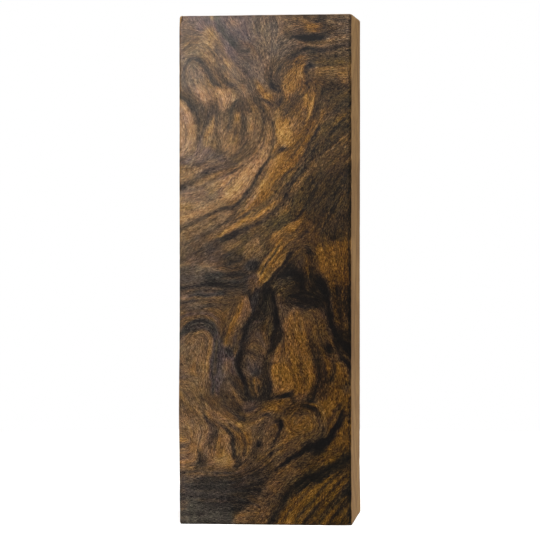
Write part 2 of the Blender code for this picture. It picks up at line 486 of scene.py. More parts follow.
    spot(RUST, 0.4, 0.8, (32.4, 116.6), 1.4, 0.4)
    spot(SOOT, 0.4, 1, (32.8, 118.6), 0.9, 0.35)
    spot(TAN, 0.4, 0.8, (31.6, 119.6), 0.8, 0.4)
    vein(CHAR, 0.25, 0.4, 0.8, (25.5, 120.2), (28, 119.8), (30, 120), (35, 120.1), (39, 119.9))
    patch(BROWN, 0.8, 1, (32, 104.3), (34, 103.9), (38, 103.6), (42, 103.8), (42, 101), (36, 100),
          (33.5, 101))
    vein(SOOT, (0.5, 0.8, 0.6, 0.3), 0.7, 0.85, (32.8, 103.6), (34.2, 103.1), (36, 102.3), (38, 102.2),
         (41, 102.8))
    patch(GOLD, 0.6, 1, (29.2, 98.6), (30.2, 101.3), (31.6, 102.6), (32.8, 101.9), (32.4, 99.5),
          (31.9, 97.5), (31.6, 94.5), (29.6, 94.5), (28.9, 96.5))
    vein(SOOT, (0.7, 0.8, 0.4), 0.5, 1, (33.7, 101.8), (33.1, 99.8), (33, 97.8), (32.3, 95.5))
    vein(SOOT, (0.4, 1, 0.5), 0.7, 1, (25.3, 97.3), (26.6, 98.3), (27.8, 99.8), (28.6, 101))
    vein(RUST, 0.35, 0.4, 0.8, (25.6, 101), (26.1, 99.8), (25.7, 98.8))
    patch(WALNUT, 0.8, 1, (34.2, 101), (42, 101.4), (42, 94), (33.5, 93), (34, 96))
    for rise, tone in ((-2.3, CHAR), (-0.6, TAN), (0.6, SOOT), (2.0, BROWN), (3.2, CHAR)):
        vein(tone, 0.3, 0.4, 0.6, (34.2, 95 + rise), (36.6, 97 + rise), (39, 98.8 + rise),
             (41.5, 100.6 + rise))
    spot(DUSK, 0.5, 0.8, (37, 97.8), 0.6, 0.9)
    vein(GOLD, 0.3, 0.35, 0.7, (33.6, 96), (34.2, 97.2), (34.6, 98.2))


def paint_upper_middle(figure):
    """From z 97 down to z 71: pale bands and dark veins that sweep up to the right."""
    patch, vein, spot, grain = figure.patch, figure.vein, figure.spot, figure.grain
    patch(PEACH, 0.6, 1, (-1, 99), (1.2, 99.4), (3.1, 97.2), (4, 94), (3.9, 91.5), (3.4, 89.6),
          (2.2, 88), (-1, 86.3))
    patch(MAUVE, 0.8, 1, (4.5, 92), (6, 91), (9, 88), (12, 87), (13, 85), (5, 84.5), (-1, 84.8),
          (-1, 86), (3, 88))
    vein(CHAR, (0.3, 0.3, 0.4, 0.25), 0.35, 1, (3.7, 97), (4.3, 95), (4.7, 93.2), (4.5, 91.2),
         (4, 89.6), (3, 88), (1.7, 86.8), (0.3, 86), wash=0.4)
    patch(TAN, 0.4, 1, (5.6, 90.6), (6.3, 92.5), (7.2, 94.6), (8.2, 96.4), (8.6, 94.5), (8.4, 92.4),
          (7.6, 90.4), (6.6, 88.8))
    vein(GOLD, 0.25, 0.4, 0.7, (8.1, 96), (8.1, 94.3), (7.2, 92.6), (6.4, 90.9))
    vein(CHAR, 0.3, 0.4, 0.8, (9, 97), (9, 94.6), (8.9, 92.4), (9.2, 90.2), (9.3, 88.4))
    patch(WALNUT, 0.8, 1, (9.5, 97), (14, 97), (17, 97), (18.5, 92), (17, 88), (13, 85.8), (9.8, 88))
    vein(PEACH, 0.45, 0.45, 0.9, (10, 96), (10.2, 94.4), (10, 93))
    patch(TAN, 0.7, 0.9, (10.2, 92.5), (12, 92.6), (13.2, 91), (13.6, 88.5), (12, 87.8), (10.3, 89))
    vein(GOLD, 0.35, 0.35, 0.8, (14, 96.5), (13.9, 95.2))
    spot(UMBER, 0.6, 1, (13.8, 92.6), 0.7, 0.9)
    vein(CHAR, 0.5, 0.5, 0.7, (12.3, 97.5), (12.6, 95.6), (12, 93.6))
    vein(CHAR, (0.3, 0.5, 0.2), 0.5, 0.85, (15.3, 96.4), (15.5, 94), (15.2, 92), (15, 90))
    vein(TAN, (0.4, 0.8, 0.6), 0.5, 1, (16.6, 96.4), (17.2, 94.2), (17.4, 91.6), (17, 89.4),
         (15.8, 87.4))
    spot(GOLD, 0.5, 0.7, (17.4, 93.2), 0.45, 1.2)
    patch(TAN, 0.6, 1, (-1, 84.2), (2, 84.6), (6, 84), (7, 83.6), (4, 81.8), (1.5, 80.2), (-1, 79.4))
    patch(PEACH, 0.7, 0.8, (-1, 82.6), (2.5, 83.6), (4.5, 83.4), (2, 81.2), (-1, 80.4))
    vein(CHAR, 0.3, 0.4, 0.75, (-0.5, 84.2), (2, 84.8), (4, 85.1), (6.2, 84.7))
    vein(RUST, 0.35, 0.5, 0.55, (5.6, 84.4), (6.8, 85.6), (8.6, 85.8), (10, 85.4))
    spot(SOOT, 0.9, 0.6, (9.4, 87.2), 1.3, 0.9, turn=30)
    patch(PEACH, 0.9, 1, (9.5, 82.5), (12.3, 83.3), (14.5, 84.8), (16.3, 86.6), (18, 88.2), (20, 90.6),
          (22, 88.4), (21, 86), (18.9, 82.8), (17, 79.4), (14.8, 77), (12, 76.3), (9.5, 77), (7.5, 79.5))
    spot(PALE, 1, 0.6, (15.6, 82), 0.9, 2, turn=-35)
    spot(PALE, 0.8, 0.8, (14.2, 79.6), 0.8, 1.3, turn=-35)
    spot(PALE, 0.9, 0.7, (11.6, 78.4), 1.2, 1.3)
    spot(PALE, 0.8, 0.5, (20.2, 87.6), 0.8, 1.6, turn=-35)
    patch(TAN, 0.8, 1, (-1, 78.6), (4, 80.3), (8, 82), (10, 80.5), (9.6, 77), (11, 75.8), (7, 73.4),
          (3, 71), (-1, 69.8))
    patch(TAUPE, 1, 0.8, (-1, 78.4), (4, 80), (7, 78.8), (8.5, 76.5), (5, 75.8), (-1, 76.5))
    vein(BROWN, 0.3, 0.6, 0.4, (3, 79.2), (5.5, 80), (8.4, 81.6))
    vein(BROWN, 0.4, 0.6, 0.3, (-0.5, 76.6), (3, 77.3), (6, 77))
    grain((1, 73.5), (5, 75), (9, 78), (13, 82))
    vein(SOOT, (0.35, 0.4, 0.55, 0.75, 0.6, 0.5, 0.6, 0.5, 0.3), 0.55, 1, (-0.5, 78.9), (1.5, 79.5),
         (3.2, 80.7), (5, 82), (6.6, 83), (8.3, 83.5), (10, 84), (12, 84.5), (13.8, 85.7), (15.4, 86.8),
         (16.7, 88.3), (17.9, 89.9), (18.8, 92), (19.2, 94.4), (19.3, 96.5), wash=0.9)
    spot(INK, 0.5, 0.7, (7.8, 83.2), 1.8, 0.4, turn=18)
    spot(INK, 0.4, 0.7, (16.4, 87.6), 1.2, 0.4, turn=50)
    vein(CHAR, 0.35, 0.5, 0.8, (20, 96), (20.2, 93.6), (19.7, 91.6))
    vein(TAN, 0.4, 0.4, 0.9, (21, 94.6), (21.3, 92.6), (21.7, 90.8))
    vein(CHAR, 0.25, 0.35, 0.7, (22, 96), (22.2, 94), (22.5, 92.4))
    vein(CHAR, (0.4, 0.45, 0.35, 0.35, 0.35, 0.35, 0.3, 0.15), 0.35, 1, (-0.5, 69.2), (2.5, 70.4),
         (5, 71.6), (7, 72.7), (8.6, 73.8), (10.2, 74.5), (12, 74.8), (13.6, 75.3), (15, 76.4),
         (16.3, 78), (17.4, 79.8), (18.2, 81.5), (19, 83), (19.9, 84.4), (20.9, 85.9), (22, 87.2),
         wash=-0.5)
    vein(SOOT, 0.3, 0.3, 0.8, (11, 74.7), (13.5, 75.3), (15.6, 77))
    patch(AMBER, 0.6, 1, (14, 72.7), (16.5, 75.4), (18.6, 78.4), (20, 81.6), (21.6, 84.6), (23.6, 86.8),
          (26, 87.4), (30.5, 91.5), (31.6, 91.6), (29.4, 87.6), (27, 84.8), (24.6, 82.2), (22.6, 79),
          (20, 76), (17, 73.2))
    patch(RUST, 0.6, 0.5, (20.5, 77.2), (22.3, 80.2), (24.3, 83.2), (27.2, 86.2), (30, 90),
          (28.6, 86.4), (25.4, 82.4), (22.8, 78.8))
    vein(GOLD, (0.25, 0.4, 0.6, 0.7, 0.9, 0.6), 0.45, 1, (14.6, 73), (16.4, 75.2), (17.9, 77),
         (19, 78.9), (19.8, 80.8), (20.6, 82.6), (21.6, 84.2), (22.9, 85.7), (24, 86.6))
    vein(PALE, (0.2, 0.4, 0.5, 0.4), 0.4, 0.8, (17.6, 76.9), (19.2, 79.3), (20, 81.2), (21, 83),
         (22.2, 84.7))
    vein(BROWN, 0.25, 0.35, 0.6, (15.4, 72.9), (17.2, 74.2), (19, 75.8), (20.6, 77.6), (21.8, 79.6),
         (23, 81.8))
    vein(OLIVE, 0.35, 0.4, 0.7, (17.8, 73.2), (20, 74.9), (21.8, 77), (23.2, 79), (24.8, 81))
    vein(TAN, 0.3, 0.3, 0.9, (19.5, 73.6), (21.3, 75.2), (22.8, 77.3), (24.2, 79.3), (25.6, 81.4))
    patch(PEACH, 0.7, 0.85, (27, 90), (30.2, 94), (31.5, 98), (29, 98), (26.5, 97.6), (26.4, 94.6),
          (27.2, 92))
    patch(TAN, 0.6, 0.8, (23.4, 98), (28, 99), (29.5, 95), (26.5, 96.5))
    patch(GOLD, 0.45, 1, (23.2, 95.8), (24.3, 96.8), (25.5, 96.2), (26.4, 94.4), (26.9, 92), (26.8, 90),
          (25.8, 89.2), (24.7, 89.4), (23.8, 90.3), (23.1, 92), (23, 94.2))
    spot(PALE, 0.8, 0.9, (25, 91.6), 0.9, 2)
    vein(GOLD, (0.6, 0.4, 0.3), 0.4, 1, (24.4, 90.2), (23.1, 89), (22.2, 87.8), (21.8, 86.6))
    patch(PEACH, 0.7, 0.4, (20, 88), (22.6, 90), (22.8, 93.4), (21.8, 95), (20.2, 92.4))
    vein(CHAR, 0.3, 0.3, 1, (22.5, 94.2), (22.8, 95.6), (23.4, 96.8), (24.4, 97.5), (25.6, 97.9))
    vein(SOOT, (0.4, 0.35, 0.25, 0.4, 0.55, 0.5), 0.3, 1, (24.4, 88.4), (25.4, 88.6), (26.4, 88.8),
         (27.4, 89.7), (28.4, 90.9), (29.2, 92.1), (30.2, 93.4), (31.1, 94.8), (31.8, 96.2), (32.4, 97.6))
    spot(INK, 0.4, 1, (24.9, 88.4), 0.7, 0.5)
    patch(OLIVE, 0.5, 1, (25.4, 81.4), (28, 84.3), (30, 86.2), (32, 89.4), (34, 93.8), (37, 96),
          (42, 98), (42, 92), (37, 89.6), (33, 87), (30, 83.6), (27, 80.6))
    vein(TAN, 0.35, 0.35, 0.8, (26.4, 82.2), (28.4, 84.3), (30, 85.8), (31.3, 88), (32.6, 90.6),
         (34, 93))
    vein(SOOT, (0.15, 0.25, 0.3, 0.4, 0.45, 0.3), 0.3, 1, (22.4, 79.3), (24.2, 81.6), (26, 83.4),
         (27.6, 84.5), (28.9, 85.8), (30.2, 87.6), (31.3, 89.8), (32.3, 91.8), (33.3, 93.6))
    vein(TAN, 0.4, 0.4, 0.6, (35, 92.6), (36, 93.8), (38, 95.6), (40.5, 97))
    vein(PEACH, 0.35, 0.4, 0.7, (34.2, 90), (35.2, 91.6), (35.8, 92.6))
    patch(WALNUT, 0.8, 1, (30, 83), (33, 86.2), (37, 88.6), (42, 92), (42, 84), (38, 82), (34, 82),
          (31, 81))
    patch(OLIVE, 1, 1, (26.5, 76.5), (30, 82), (34, 82.6), (42, 84), (42, 67.5), (35, 67), (31, 69.5),
          (27, 72.4))
    spot(TAN, 0.7, 0.9, (38.8, 89.2), 1.5, 0.7, turn=40)
    spot(TAN, 1.2, 0.6, (36, 85.4), 1.8, 1.2, turn=40)
    spot(TAN, 0.7, 0.6, (32.4, 83.6), 1.2, 0.5, turn=40)
    spot(AMBER, 1, 0.4, (39, 82.4), 1.4, 0.8)
    spot(SOOT, 0.6, 0.7, (32.4, 81.2), 1.4, 0.5, turn=-15)
    spot(SOOT, 0.7, 0.7, (36.3, 78.8), 0.8, 1.1)
    spot(CHAR, 0.8, 0.6, (32.3, 76.4), 1, 0.8)
    spot(TAN, 0.7, 0.4, (31, 78.8), 1.2, 0.5, turn=45)
    spot(TAN, 0.7, 0.35, (35.8, 76.6), 1.4, 0.5, turn=60)
    grain((29, 74), (32, 79), (36, 84), (40, 88))
    grain((33, 70), (35, 75), (38, 80), (40.5, 83))
    vein(INK, (0.35, 0.45, 0.6, 0.6, 0.75, 0.3), 0.35, 1, (20, 71.8), (21.6, 73), (23.1, 74.5),
         (24.4, 75.9), (25.3, 77.4), (26, 79), (26.9, 80.4), (27.6, 81.4), wash=-0.6)
    spot(DUSK, 0.3, 1, (26.8, 80.1), 0.6, 0.5)
    vein(SOOT, (0.4, 0.3, 0.3, 0.6, 0.3, 0.3, 0.35), 0.4, 1, (27.4, 81.2), (28.7, 82.9), (30.3, 84.4),
         (31.5, 85.6), (32.6, 86.8), (34, 87.6), (36, 88.8), (37.4, 90.2), (39, 91.6), (41.5, 93.2),
         wash=0.5)
    vein(GOLD, (0.2, 0.45, 0.6, 0.5, 0.2), 0.35, 1, (26.2, 76.9), (27, 78.6), (27.9, 80.2),
         (29.1, 81.6), (30.6, 82.8))
    vein(PALE, 0.25, 0.35, 0.8, (27.6, 79.4), (28.6, 80.8), (29.5, 81.7))
    vein(TAN, 0.4, 0.5, 0.6, (25.9, 76.4), (24.9, 74.6), (23.8, 73.2))
    vein(AMBER, (0.3, 0.8, 0.5), 0.6, 0.7, (20.6, 77), (22.4, 79.6), (24.2, 82), (26.4, 84.2),
         (28.4, 86.2), (29.8, 88.6))
    vein(PEACH, (0.25, 0.4, 0.5, 0.6, 0.35), 0.4, 1, (15.8, 74.9), (17, 76.4), (18.2, 78.2),
         (19.2, 80.2), (20.1, 82), (21.2, 83.7), (22.6, 85.3), (23.6, 86.4))
    vein(PALE, (0.15, 0.3, 0.3, 0.15), 0.3, 0.8, (18, 77.8), (19.2, 79.8), (20.2, 81.8), (21.4, 83.6),
         (22.6, 85))
    vein(SOOT, (0.25, 0.3, 0.35, 0.4, 0.35, 0.3, 0.2), 0.25, 1, (9.4, 74.4), (11.4, 75), (13.2, 75.4),
         (14.5, 76.2), (15.7, 77.4), (16.7, 78.8), (17.5, 80.1), (18.3, 81.5), (19.1, 82.9), (19.9, 84.3),
         (20.8, 85.6), (21.7, 86.8))
    vein(UMBER, 0.14, 0.18, 0.9, (14.8, 75.4), (16.4, 77), (17.5, 78.7), (18.3, 80.3), (19, 81.7))
    vein(TAUPE, 0.12, 0.15, 0.8, (15, 76), (16.3, 77.5), (17.3, 79.1), (18.1, 80.6))
    for shift, colour, weight in ((0.0, UMBER, 0.9), (1.0, BROWN, 0.7), (1.9, CHAR, 0.8), (2.7, TAN, 0.7)):
        vein(colour, 0.13, 0.18, weight, (19.6 + shift, 76 - 0.5 * shift),
             (21.3 + shift, 78 - 0.5 * shift), (22.6 + shift, 80.2 - 0.6 * shift),
             (24 + shift, 82.1 - 0.6 * shift))
    vein(CHAR, 0.2, 0.2, 1, (24.6, 81.6), (25.6, 82.7), (27, 84.1), (28.4, 85.4), (29.4, 86.6),
         (30.2, 88.2))
    vein(INK, (0.2, 0.4, 0.4, 0.2), 0.25, 1, (30.2, 88.2), (31, 89.7), (31.8, 91), (32.7, 92.4),
         (33.3, 93.8))
    vein(CHAR, 0.18, 0.25, 0.8, (21.3, 86.7), (22, 87.9), (22.4, 89), (22.6, 90.6))
    vein(INK, (0.45, 0.3, 0.2, 0.25, 0.35, 0.3), 0.25, 1, (24.2, 88.2), (25.2, 88.5), (26.4, 88.8),
         (27.5, 89.8), (28.5, 91.1), (29.6, 92.7), (30.6, 94.3), (31.5, 96))
    vein(SOOT, (0.5, 0.8, 0.6, 0.4), 0.5, 0.8, (5.4, 82.1), (7, 82.9), (9, 83.7), (11, 84.2),
         (13, 85.1))
    vein(SOOT, (0.2, 0.45, 0.3), 0.3, 0.9, (15.4, 86), (16.3, 87), (17.2, 88.3), (18.2, 89.9))
    vein(TAUPE, 0.13, 0.15, 0.7, (15.9, 87.3), (16.8, 88.8), (17.7, 90.3))
    vein(CHAR, 0.15, 0.2, 0.8, (15.2, 87.2), (16.1, 88.8), (17, 90.4))
    vein(INK, 0.5, 0.3, 1, (26.4, 79.6), (27, 80.6), (27.5, 81.4))
    vein(SLATE, 0.3, 0.3, 0.8, (27.7, 81.9), (28.6, 83.2), (29.6, 84.3))
    for shift, colour in ((0.0, TAN), (0.8, CHAR), (1.5, TAUPE), (2.2, SOOT)):
        vein(colour, 0.15, 0.2, 0.75, (28.6 + shift, 83.9 - 0.3 * shift),
             (30 + shift, 85.7 - 0.3 * shift), (31.2 + shift, 87.8 - 0.3 * shift),
             (32.6 + shift, 90.2 - 0.4 * shift))
    spot(INK, 0.3, 0.8, (32.6, 86.6), 0.9, 0.4, turn=35)
    spot(INK, 0.3, 0.8, (37.8, 90.8), 0.9, 0.35, turn=40)
    for shift, colour in ((0.0, CHAR), (0.55, TAN), (1.0, CHAR), (1.5, GOLD)):
        vein(colour, 0.14, 0.16, 0.85, (9.4 + shift, 71 - 0.5 * shift),
             (11.2 + shift, 72.1 - 0.5 * shift), (13 + shift, 73.5 - 0.5 * shift),
             (14.4 + shift, 74.6 - 0.5 * shift))
    spot(DUSK, 0.3, 0.7, (16.2, 73.4), 0.6, 0.35, turn=25)
    vein(OLIVE, 0.2, 0.25, 0.8, (15.4, 72.6), (17.2, 73.8), (19, 75), (20.6, 76.4))


def paint_middle(figure):
    """From z 73 down to z 47: the long dark vein, a gold tongue with its tip, and dark bands."""
    patch, vein, spot = figure.patch, figure.vein, figure.spot
    patch(TAN, 0.6, 1, (-1, 69), (3, 70.6), (7, 72.4), (10, 73.6), (13, 73.4), (9, 68.4), (5, 65.6),
          (-1, 62.8))
    vein(BROWN, 0.25, 0.4, 0.6, (3.4, 65.8), (6, 67.6), (8.6, 69.6), (11, 71.5), (13, 73))
    vein(UMBER, 0.3, 0.5, 0.6, (3, 65.6), (4.6, 66.2), (6.4, 67.3))
    vein(CHAR, 0.2, 0.3, 0.8, (10.6, 70.9), (11.7, 71.8), (13, 73))
    patch(OLIVE, 0.7, 1, (9, 65.8), (13, 67.6), (18, 69.8), (22, 72.2), (26, 73.6), (30, 73),
          (26, 70.4), (22, 67.6), (20, 63), (12, 63.6))
    patch(TAN, 0.6, 0.9, (9.6, 66), (12, 67.3), (14.6, 67), (15, 65.2), (12.6, 64.4), (10, 64.6))
    vein(GOLD, (0.35, 0.55, 0.4, 0.35, 0.3, 0.2), 0.3, 1, (9.9, 68.2), (11, 69.1), (12.5, 70.2),
         (14.2, 71.1), (16, 71.9), (18, 72.7), (19.6, 73.6), (21.2, 74.9), (22.6, 76.2))
    vein(PALE, 0.4, 0.3, 1, (9.9, 68.2), (11, 69.1), (12.3, 70))
    vein(INK, (0.2, 0.25, 0.3, 0.45, 0.55, 0.5, 0.45, 0.4, 0.35), 0.3, 1, (-0.5, 61.9), (2, 63),
         (4.2, 64.1), (6, 65), (7.6, 65.8), (9, 66.8), (10.6, 67.4), (12, 67.9), (14, 68.9), (16, 69.9),
         (18, 70.9), (20, 71.7), (21, 72.6))
    vein(CHAR, 0.2, 0.4, 0.6, (0, 62.8), (3, 64.6), (5.6, 66), (8, 67.2))
    patch(PEACH, 0.9, 0.75, (-1, 61.6), (3, 63), (7, 64.3), (10, 62.8), (10.2, 60), (8, 59.6),
          (4, 57.2), (-1, 56.4))
    spot(PALE, 0.9, 0.4, (7, 61), 0.8, 1.3, turn=20)
    patch(TAUPE, 0.8, 0.7, (-1, 61), (2, 62), (3, 59), (1, 57), (-1, 57))
    patch(BROWN, 0.7, 1, (9.6, 63.6), (15.2, 63.8), (20, 62), (19, 59.2), (10.5, 60.4))
    patch(SOOT, 0.5, 1, (10.4, 63.2), (12, 63.8), (14.8, 63.6), (15, 61.8), (13.4, 61.4), (11.6, 62))
    patch(SLATE, 0.7, 1, (15.4, 62), (18.6, 62.6), (18.6, 60.6), (16, 60))
    patch(PEACH, 0.5, 1, (15.3, 64.2), (16.3, 62.6), (17.6, 62.9), (19.2, 64), (19.8, 65.6),
          (18.9, 67.4), (17.4, 66.9), (16.1, 65.6))
    spot(PALE, 0.5, 0.6, (16.4, 63.7), 0.7, 0.5)
    spot(GOLD, 0.5, 0.7, (18.6, 65.2), 0.8, 0.8)
    spot(UMBER, 0.5, 1, (21, 66.4), 0.8, 1.1)
    patch(RUST, 1, 0.8, (28, 73), (31, 72.2), (33.5, 69.5), (33, 66.4), (30.5, 66), (28.6, 67.6))
    patch(AMBER, 0.9, 0.6, (29, 72.6), (31.4, 71.6), (32.4, 68.8), (31, 67), (29.2, 68.4))
    patch(GOLD, 0.35, 1, (21.8, 68), (22.6, 69), (24.2, 69.8), (25.6, 70.8), (27.2, 71.7), (28.6, 72.4),
          (29.5, 71.9), (29.2, 70.4), (28.7, 69), (28.9, 67.4), (28, 66.2), (26.7, 65.3), (26, 64),
          (25, 62.3), (23.8, 60.8), (22.4, 59.2), (21.4, 57.9), (20, 56.9), (18.8, 57), (18.5, 58.2),
          (19.2, 60.2), (20.3, 62.4), (21.6, 64.2), (23, 66))
    patch(AMBER, 0.5, 0.6, (20.2, 60.2), (22.8, 63.6), (24.4, 66.2), (26.2, 67.2), (25.6, 64.6),
          (24.2, 62.4), (22.6, 60.4), (21, 59))
    vein(PALE, (0.35, 0.45, 0.2), 0.3, 1, (18.8, 57.3), (20.3, 57.6), (21.7, 58.7), (23, 60),
         (24.3, 61.4))
    vein(PALE, 0.2, 0.25, 0.8, (18.7, 58.3), (19.5, 60.8), (20.7, 62.9), (22, 64.6))
    vein(BROWN, 0.18, 0.25, 0.9, (19.9, 60), (20.8, 61.8), (22, 63.4), (23, 64.9), (23.9, 66.2))
    vein(OLIVE, 0.3, 0.3, 0.8, (19.6, 59.2), (20.1, 60.2), (20.9, 61.4))
    vein(BROWN, 0.15, 0.25, 0.7, (20.9, 58.9), (21.9, 59.6), (22.8, 60.7))
    vein(BROWN, 0.2, 0.4, 0.5, (24, 66.6), (25.6, 67.6), (27.4, 68))
    vein(PALE, 0.4, 0.5, 0.5, (23, 68.5), (25, 69.6), (27.2, 71))
    patch(UMBER, 0.5, 1, (26.6, 65.2), (28.4, 66.1), (31, 66.4), (32, 64), (31.6, 61), (31, 58),
          (27, 57), (22.6, 56.2), (21, 57), (23, 60), (25.6, 63))
    vein(SOOT, 0.4, 0.4, 0.8, (27.8, 64.8), (29, 65.6), (30.3, 65.5), (31.4, 64.8))
    spot(DUSK, 1, 0.6, (26.8, 62.4), 1.6, 1.5)
    patch(DUSK, 0.6, 1, (23.4, 59), (24.6, 60.2), (26.2, 60.9), (28, 60.6), (29.5, 59.6), (29.9, 58),
          (28.6, 57.2), (26.4, 57.9), (24.6, 58.2))
    patch(INK, 0.7, 0.6, (23.6, 59.2), (25, 60), (27, 60), (29.2, 58.6), (28, 57.8), (25, 58.7))
    vein(INK, (0.7, 0.5, 0.4), 0.4, 1, (20.9, 56.6), (22, 57.8), (23.4, 59.2))
    vein(BROWN, 0.4, 0.5, 0.8, (29.8, 62.6), (30, 59.8), (29.9, 57))
    patch(OLIVE, 0.6, 1, (22, 56.8), (24, 57.9), (26.8, 57.6), (28.4, 56.4), (28, 54.4), (25, 53.6),
          (22.6, 54.4))
    spot(WALNUT, 0.9, 0.9, (25.4, 55.8), 1.8, 1.2)
    patch(BROWN, 0.7, 1, (31.6, 65.6), (34, 65.4), (33.8, 62), (34.4, 59.4), (32, 58.8), (31, 61.6))
    patch(AMBER, 0.7, 1, (33, 66), (34.6, 65.2), (36.2, 66.2), (38, 67.4), (42, 67), (42, 56.6),
          (38.6, 56.4), (36.6, 57), (34.6, 59), (33, 61), (32.4, 63.6))
    patch(GOLD, 0.8, 0.8, (36, 65.6), (38.3, 66.8), (39.4, 64.4), (37.6, 62.4), (38.4, 58.8),
          (36.8, 58), (34.8, 60), (34, 62.4), (35.4, 63.4))
    spot(PALE, 0.8, 0.5, (37.8, 64.8), 0.9, 1.1)
    spot(RUST, 0.9, 0.5, (40.2, 60.6), 0.9, 2.6)
    patch(UMBER, 0.8, 0.7, (33, 73.5), (42, 73.5), (42, 67.6), (38.4, 67.9), (36, 66.9), (33.6, 68.4))
    spot(SLATE, 1.2, 0.4, (38, 70.6), 1.8, 1.4)
    patch(SOOT, 0.5, 0.9, (-1, 56.8), (2, 56.7), (4.4, 57.4), (5.6, 58.6), (8, 59.2), (12, 59.4),
          (15.4, 59.6), (18.6, 58.2), (20.6, 56.8), (22, 54.4), (19.6, 54), (15, 54.2), (10, 55.6),
          (5, 55.6), (2, 54.9), (-1, 54.7))
    vein(INK, (0.3, 0.35, 0.5, 0.3), 0.5, 0.8, (-0.5, 55.6), (2, 55.9), (4.4, 56.4), (6.6, 57.5),
         (9, 57), (12, 56), (15, 56))
    vein(CHAR, 0.3, 0.4, 0.6, (5, 58.6), (8.4, 59), (12, 59), (15, 59.2))
    patch(DUSK, 0.6, 0.8, (15.4, 58.4), (18.2, 58.8), (18.6, 57), (20.4, 56.2), (19, 55), (16, 55.6))
    spot(MAUVE, 0.8, 0.55, (17.4, 57.5), 1.1, 1)
    vein(TAN, 0.25, 0.35, 0.8, (0, 54.4), (2.6, 54.9), (5.4, 55.7), (7.6, 55.7), (9.6, 55.2))
    vein(PEACH, (0.7, 0.5, 0.1), 0.5, 1, (-0.5, 53.7), (1.4, 53.9), (2.6, 53.6))
    vein(DUSK, (0.2, 0.5, 0.6, 0.4), 0.4, 1, (2.4, 53.9), (4.6, 54.2), (7, 54.3), (9, 54.5),
         (11.4, 54.7), (14.4, 54.5))
    vein(SOOT, (0.5, 0.4, 0.2), 0.35, 1, (-0.5, 52.2), (1.6, 52.3), (3.4, 53))
    patch(WALNUT, 0.5, 1, (-1, 51.4), (3, 52), (6, 53.4), (10, 53.9), (14, 53.6), (13.4, 50), (12, 47),
          (10, 44), (9.2, 47), (7.4, 49.6), (4, 50.2), (-1, 49))
    vein(TAN, (0.3, 0.4, 0.4, 0.6), 0.4, 0.9, (-0.5, 50.8), (2, 51.4), (5, 53), (8, 53.5), (11.6, 52.9))
    spot(SOOT, 0.4, 0.85, (7.6, 51.7), 1.2, 0.45)
    vein(SLATE, 0.25, 0.35, 0.7, (-0.5, 49.4), (2, 50.4), (4.6, 51.2), (6.6, 51.6))
    patch(SOOT, 0.5, 1, (16.8, 56), (22, 56), (22.6, 52), (23.6, 48), (23.8, 44), (20, 46), (16, 47),
          (17.2, 51))
    patch(CHAR, 0.8, 0.9, (18, 53.6), (21.4, 54), (22, 50.6), (22, 47), (18.4, 47.4), (18.4, 50.6))
    spot(WALNUT, 0.6, 0.7, (20.8, 48.2), 0.9, 0.7)
    spot(OLIVE, 0.8, 0.5, (20.6, 50.8), 0.8, 1.4)
    patch(GOLD, 0.4, 1, (14.2, 52.3), (15.4, 53.3), (16.5, 52.7), (17.1, 51), (16.6, 49.4),
          (15.5, 47.9), (14.6, 46.4), (13.4, 44.8), (12.2, 43), (11, 41.2), (10.4, 42.4), (11.6, 45),
          (12.5, 47.5), (13.6, 50))
    vein(PALE, 0.3, 0.35, 1, (15.4, 53), (16.4, 52.2), (16.7, 50.9), (16.2, 49.6), (15.3, 48.2))
    vein(RUST, 0.3, 0.4, 0.5, (14.9, 52), (15.7, 50.5), (15, 49))
    vein(BROWN, 0.15, 0.35, 0.5, (12.6, 46.8), (13.4, 48.8), (14, 50.8))
    for start, end, colour, weight in (
        (68.9, 73.4, CHAR, 0.8),
        (68.1, 72.4, TAUPE, 0.6),
        (67.2, 71.7, UMBER, 0.7),
        (66.0, 70.6, BROWN, 0.6),
        (64.9, 69.5, CHAR, 0.6),
        (64.2, 68.9, TAUPE, 0.6),
        (63.2, 67.7, UMBER, 0.6),
    ):
        rise = end - start
        vein(colour, (0.12, 0.22, 0.16), 0.2, weight, (-0.5, start - 0.2), (2.4, start + 0.34 * rise),
             (5.2, start + 0.62 * rise), (8, end), (10, end + 1.2))
    vein(CHAR, 0.28, 0.2, 1, (9.6, 70.2), (11, 71.3), (12.4, 72.6), (13.6, 73.6))
    vein(BROWN, 0.15, 0.2, 0.9, (11.4, 70.4), (13, 71.4), (14.6, 72.6))
    vein(GOLD, (0.3, 0.35, 0.25), 0.2, 1, (10, 68.2), (12, 69.4), (14, 70.6), (16, 71.6), (18, 72.5),
         (20, 73.5))
    vein(PALE, (0.25, 0.35, 0.15), 0.2, 1, (10.1, 68.2), (11, 68.9), (12.2, 69.7))
    vein(INK, (0.15, 0.3, 0.45, 0.3, 0.5, 0.4, 0.25, 0.35, 0.3), 0.22, 1, (4.4, 64.6), (6, 65.3),
         (7.6, 66.1), (9, 67), (10.8, 67.6), (12.6, 68.3), (14.2, 69.1), (16, 70), (17.8, 70.8),
         (19.4, 71.5), (20.6, 72.4), (21.8, 73.4))
    patch(TAUPE, 0.8, 0.6, (1, 62.4), (4.4, 63.6), (4.6, 60.6), (3.2, 58.2), (0.6, 58))
    spot(INK, 0.5, 0.7, (13, 62.8), 1.5, 0.6, turn=-12)
    spot(DUSK, 0.5, 0.6, (17.3, 61.6), 1.1, 0.7)
    spot(UMBER, 0.4, 0.8, (21.4, 66.6), 0.7, 0.9)
    vein(UMBER, 0.3, 0.4, 0.7, (20.2, 64.6), (21, 65.6), (21.6, 67), (21.8, 68.4))
    vein(PALE, 0.4, 0.4, 0.6, (16, 63.2), (16.3, 64.2), (17.2, 65))
    vein(PALE, (0.2, 0.25, 0.15), 0.18, 1, (20.3, 57.4), (21.6, 58.4), (22.9, 59.8), (24.1, 61.3),
         (25, 62.6))
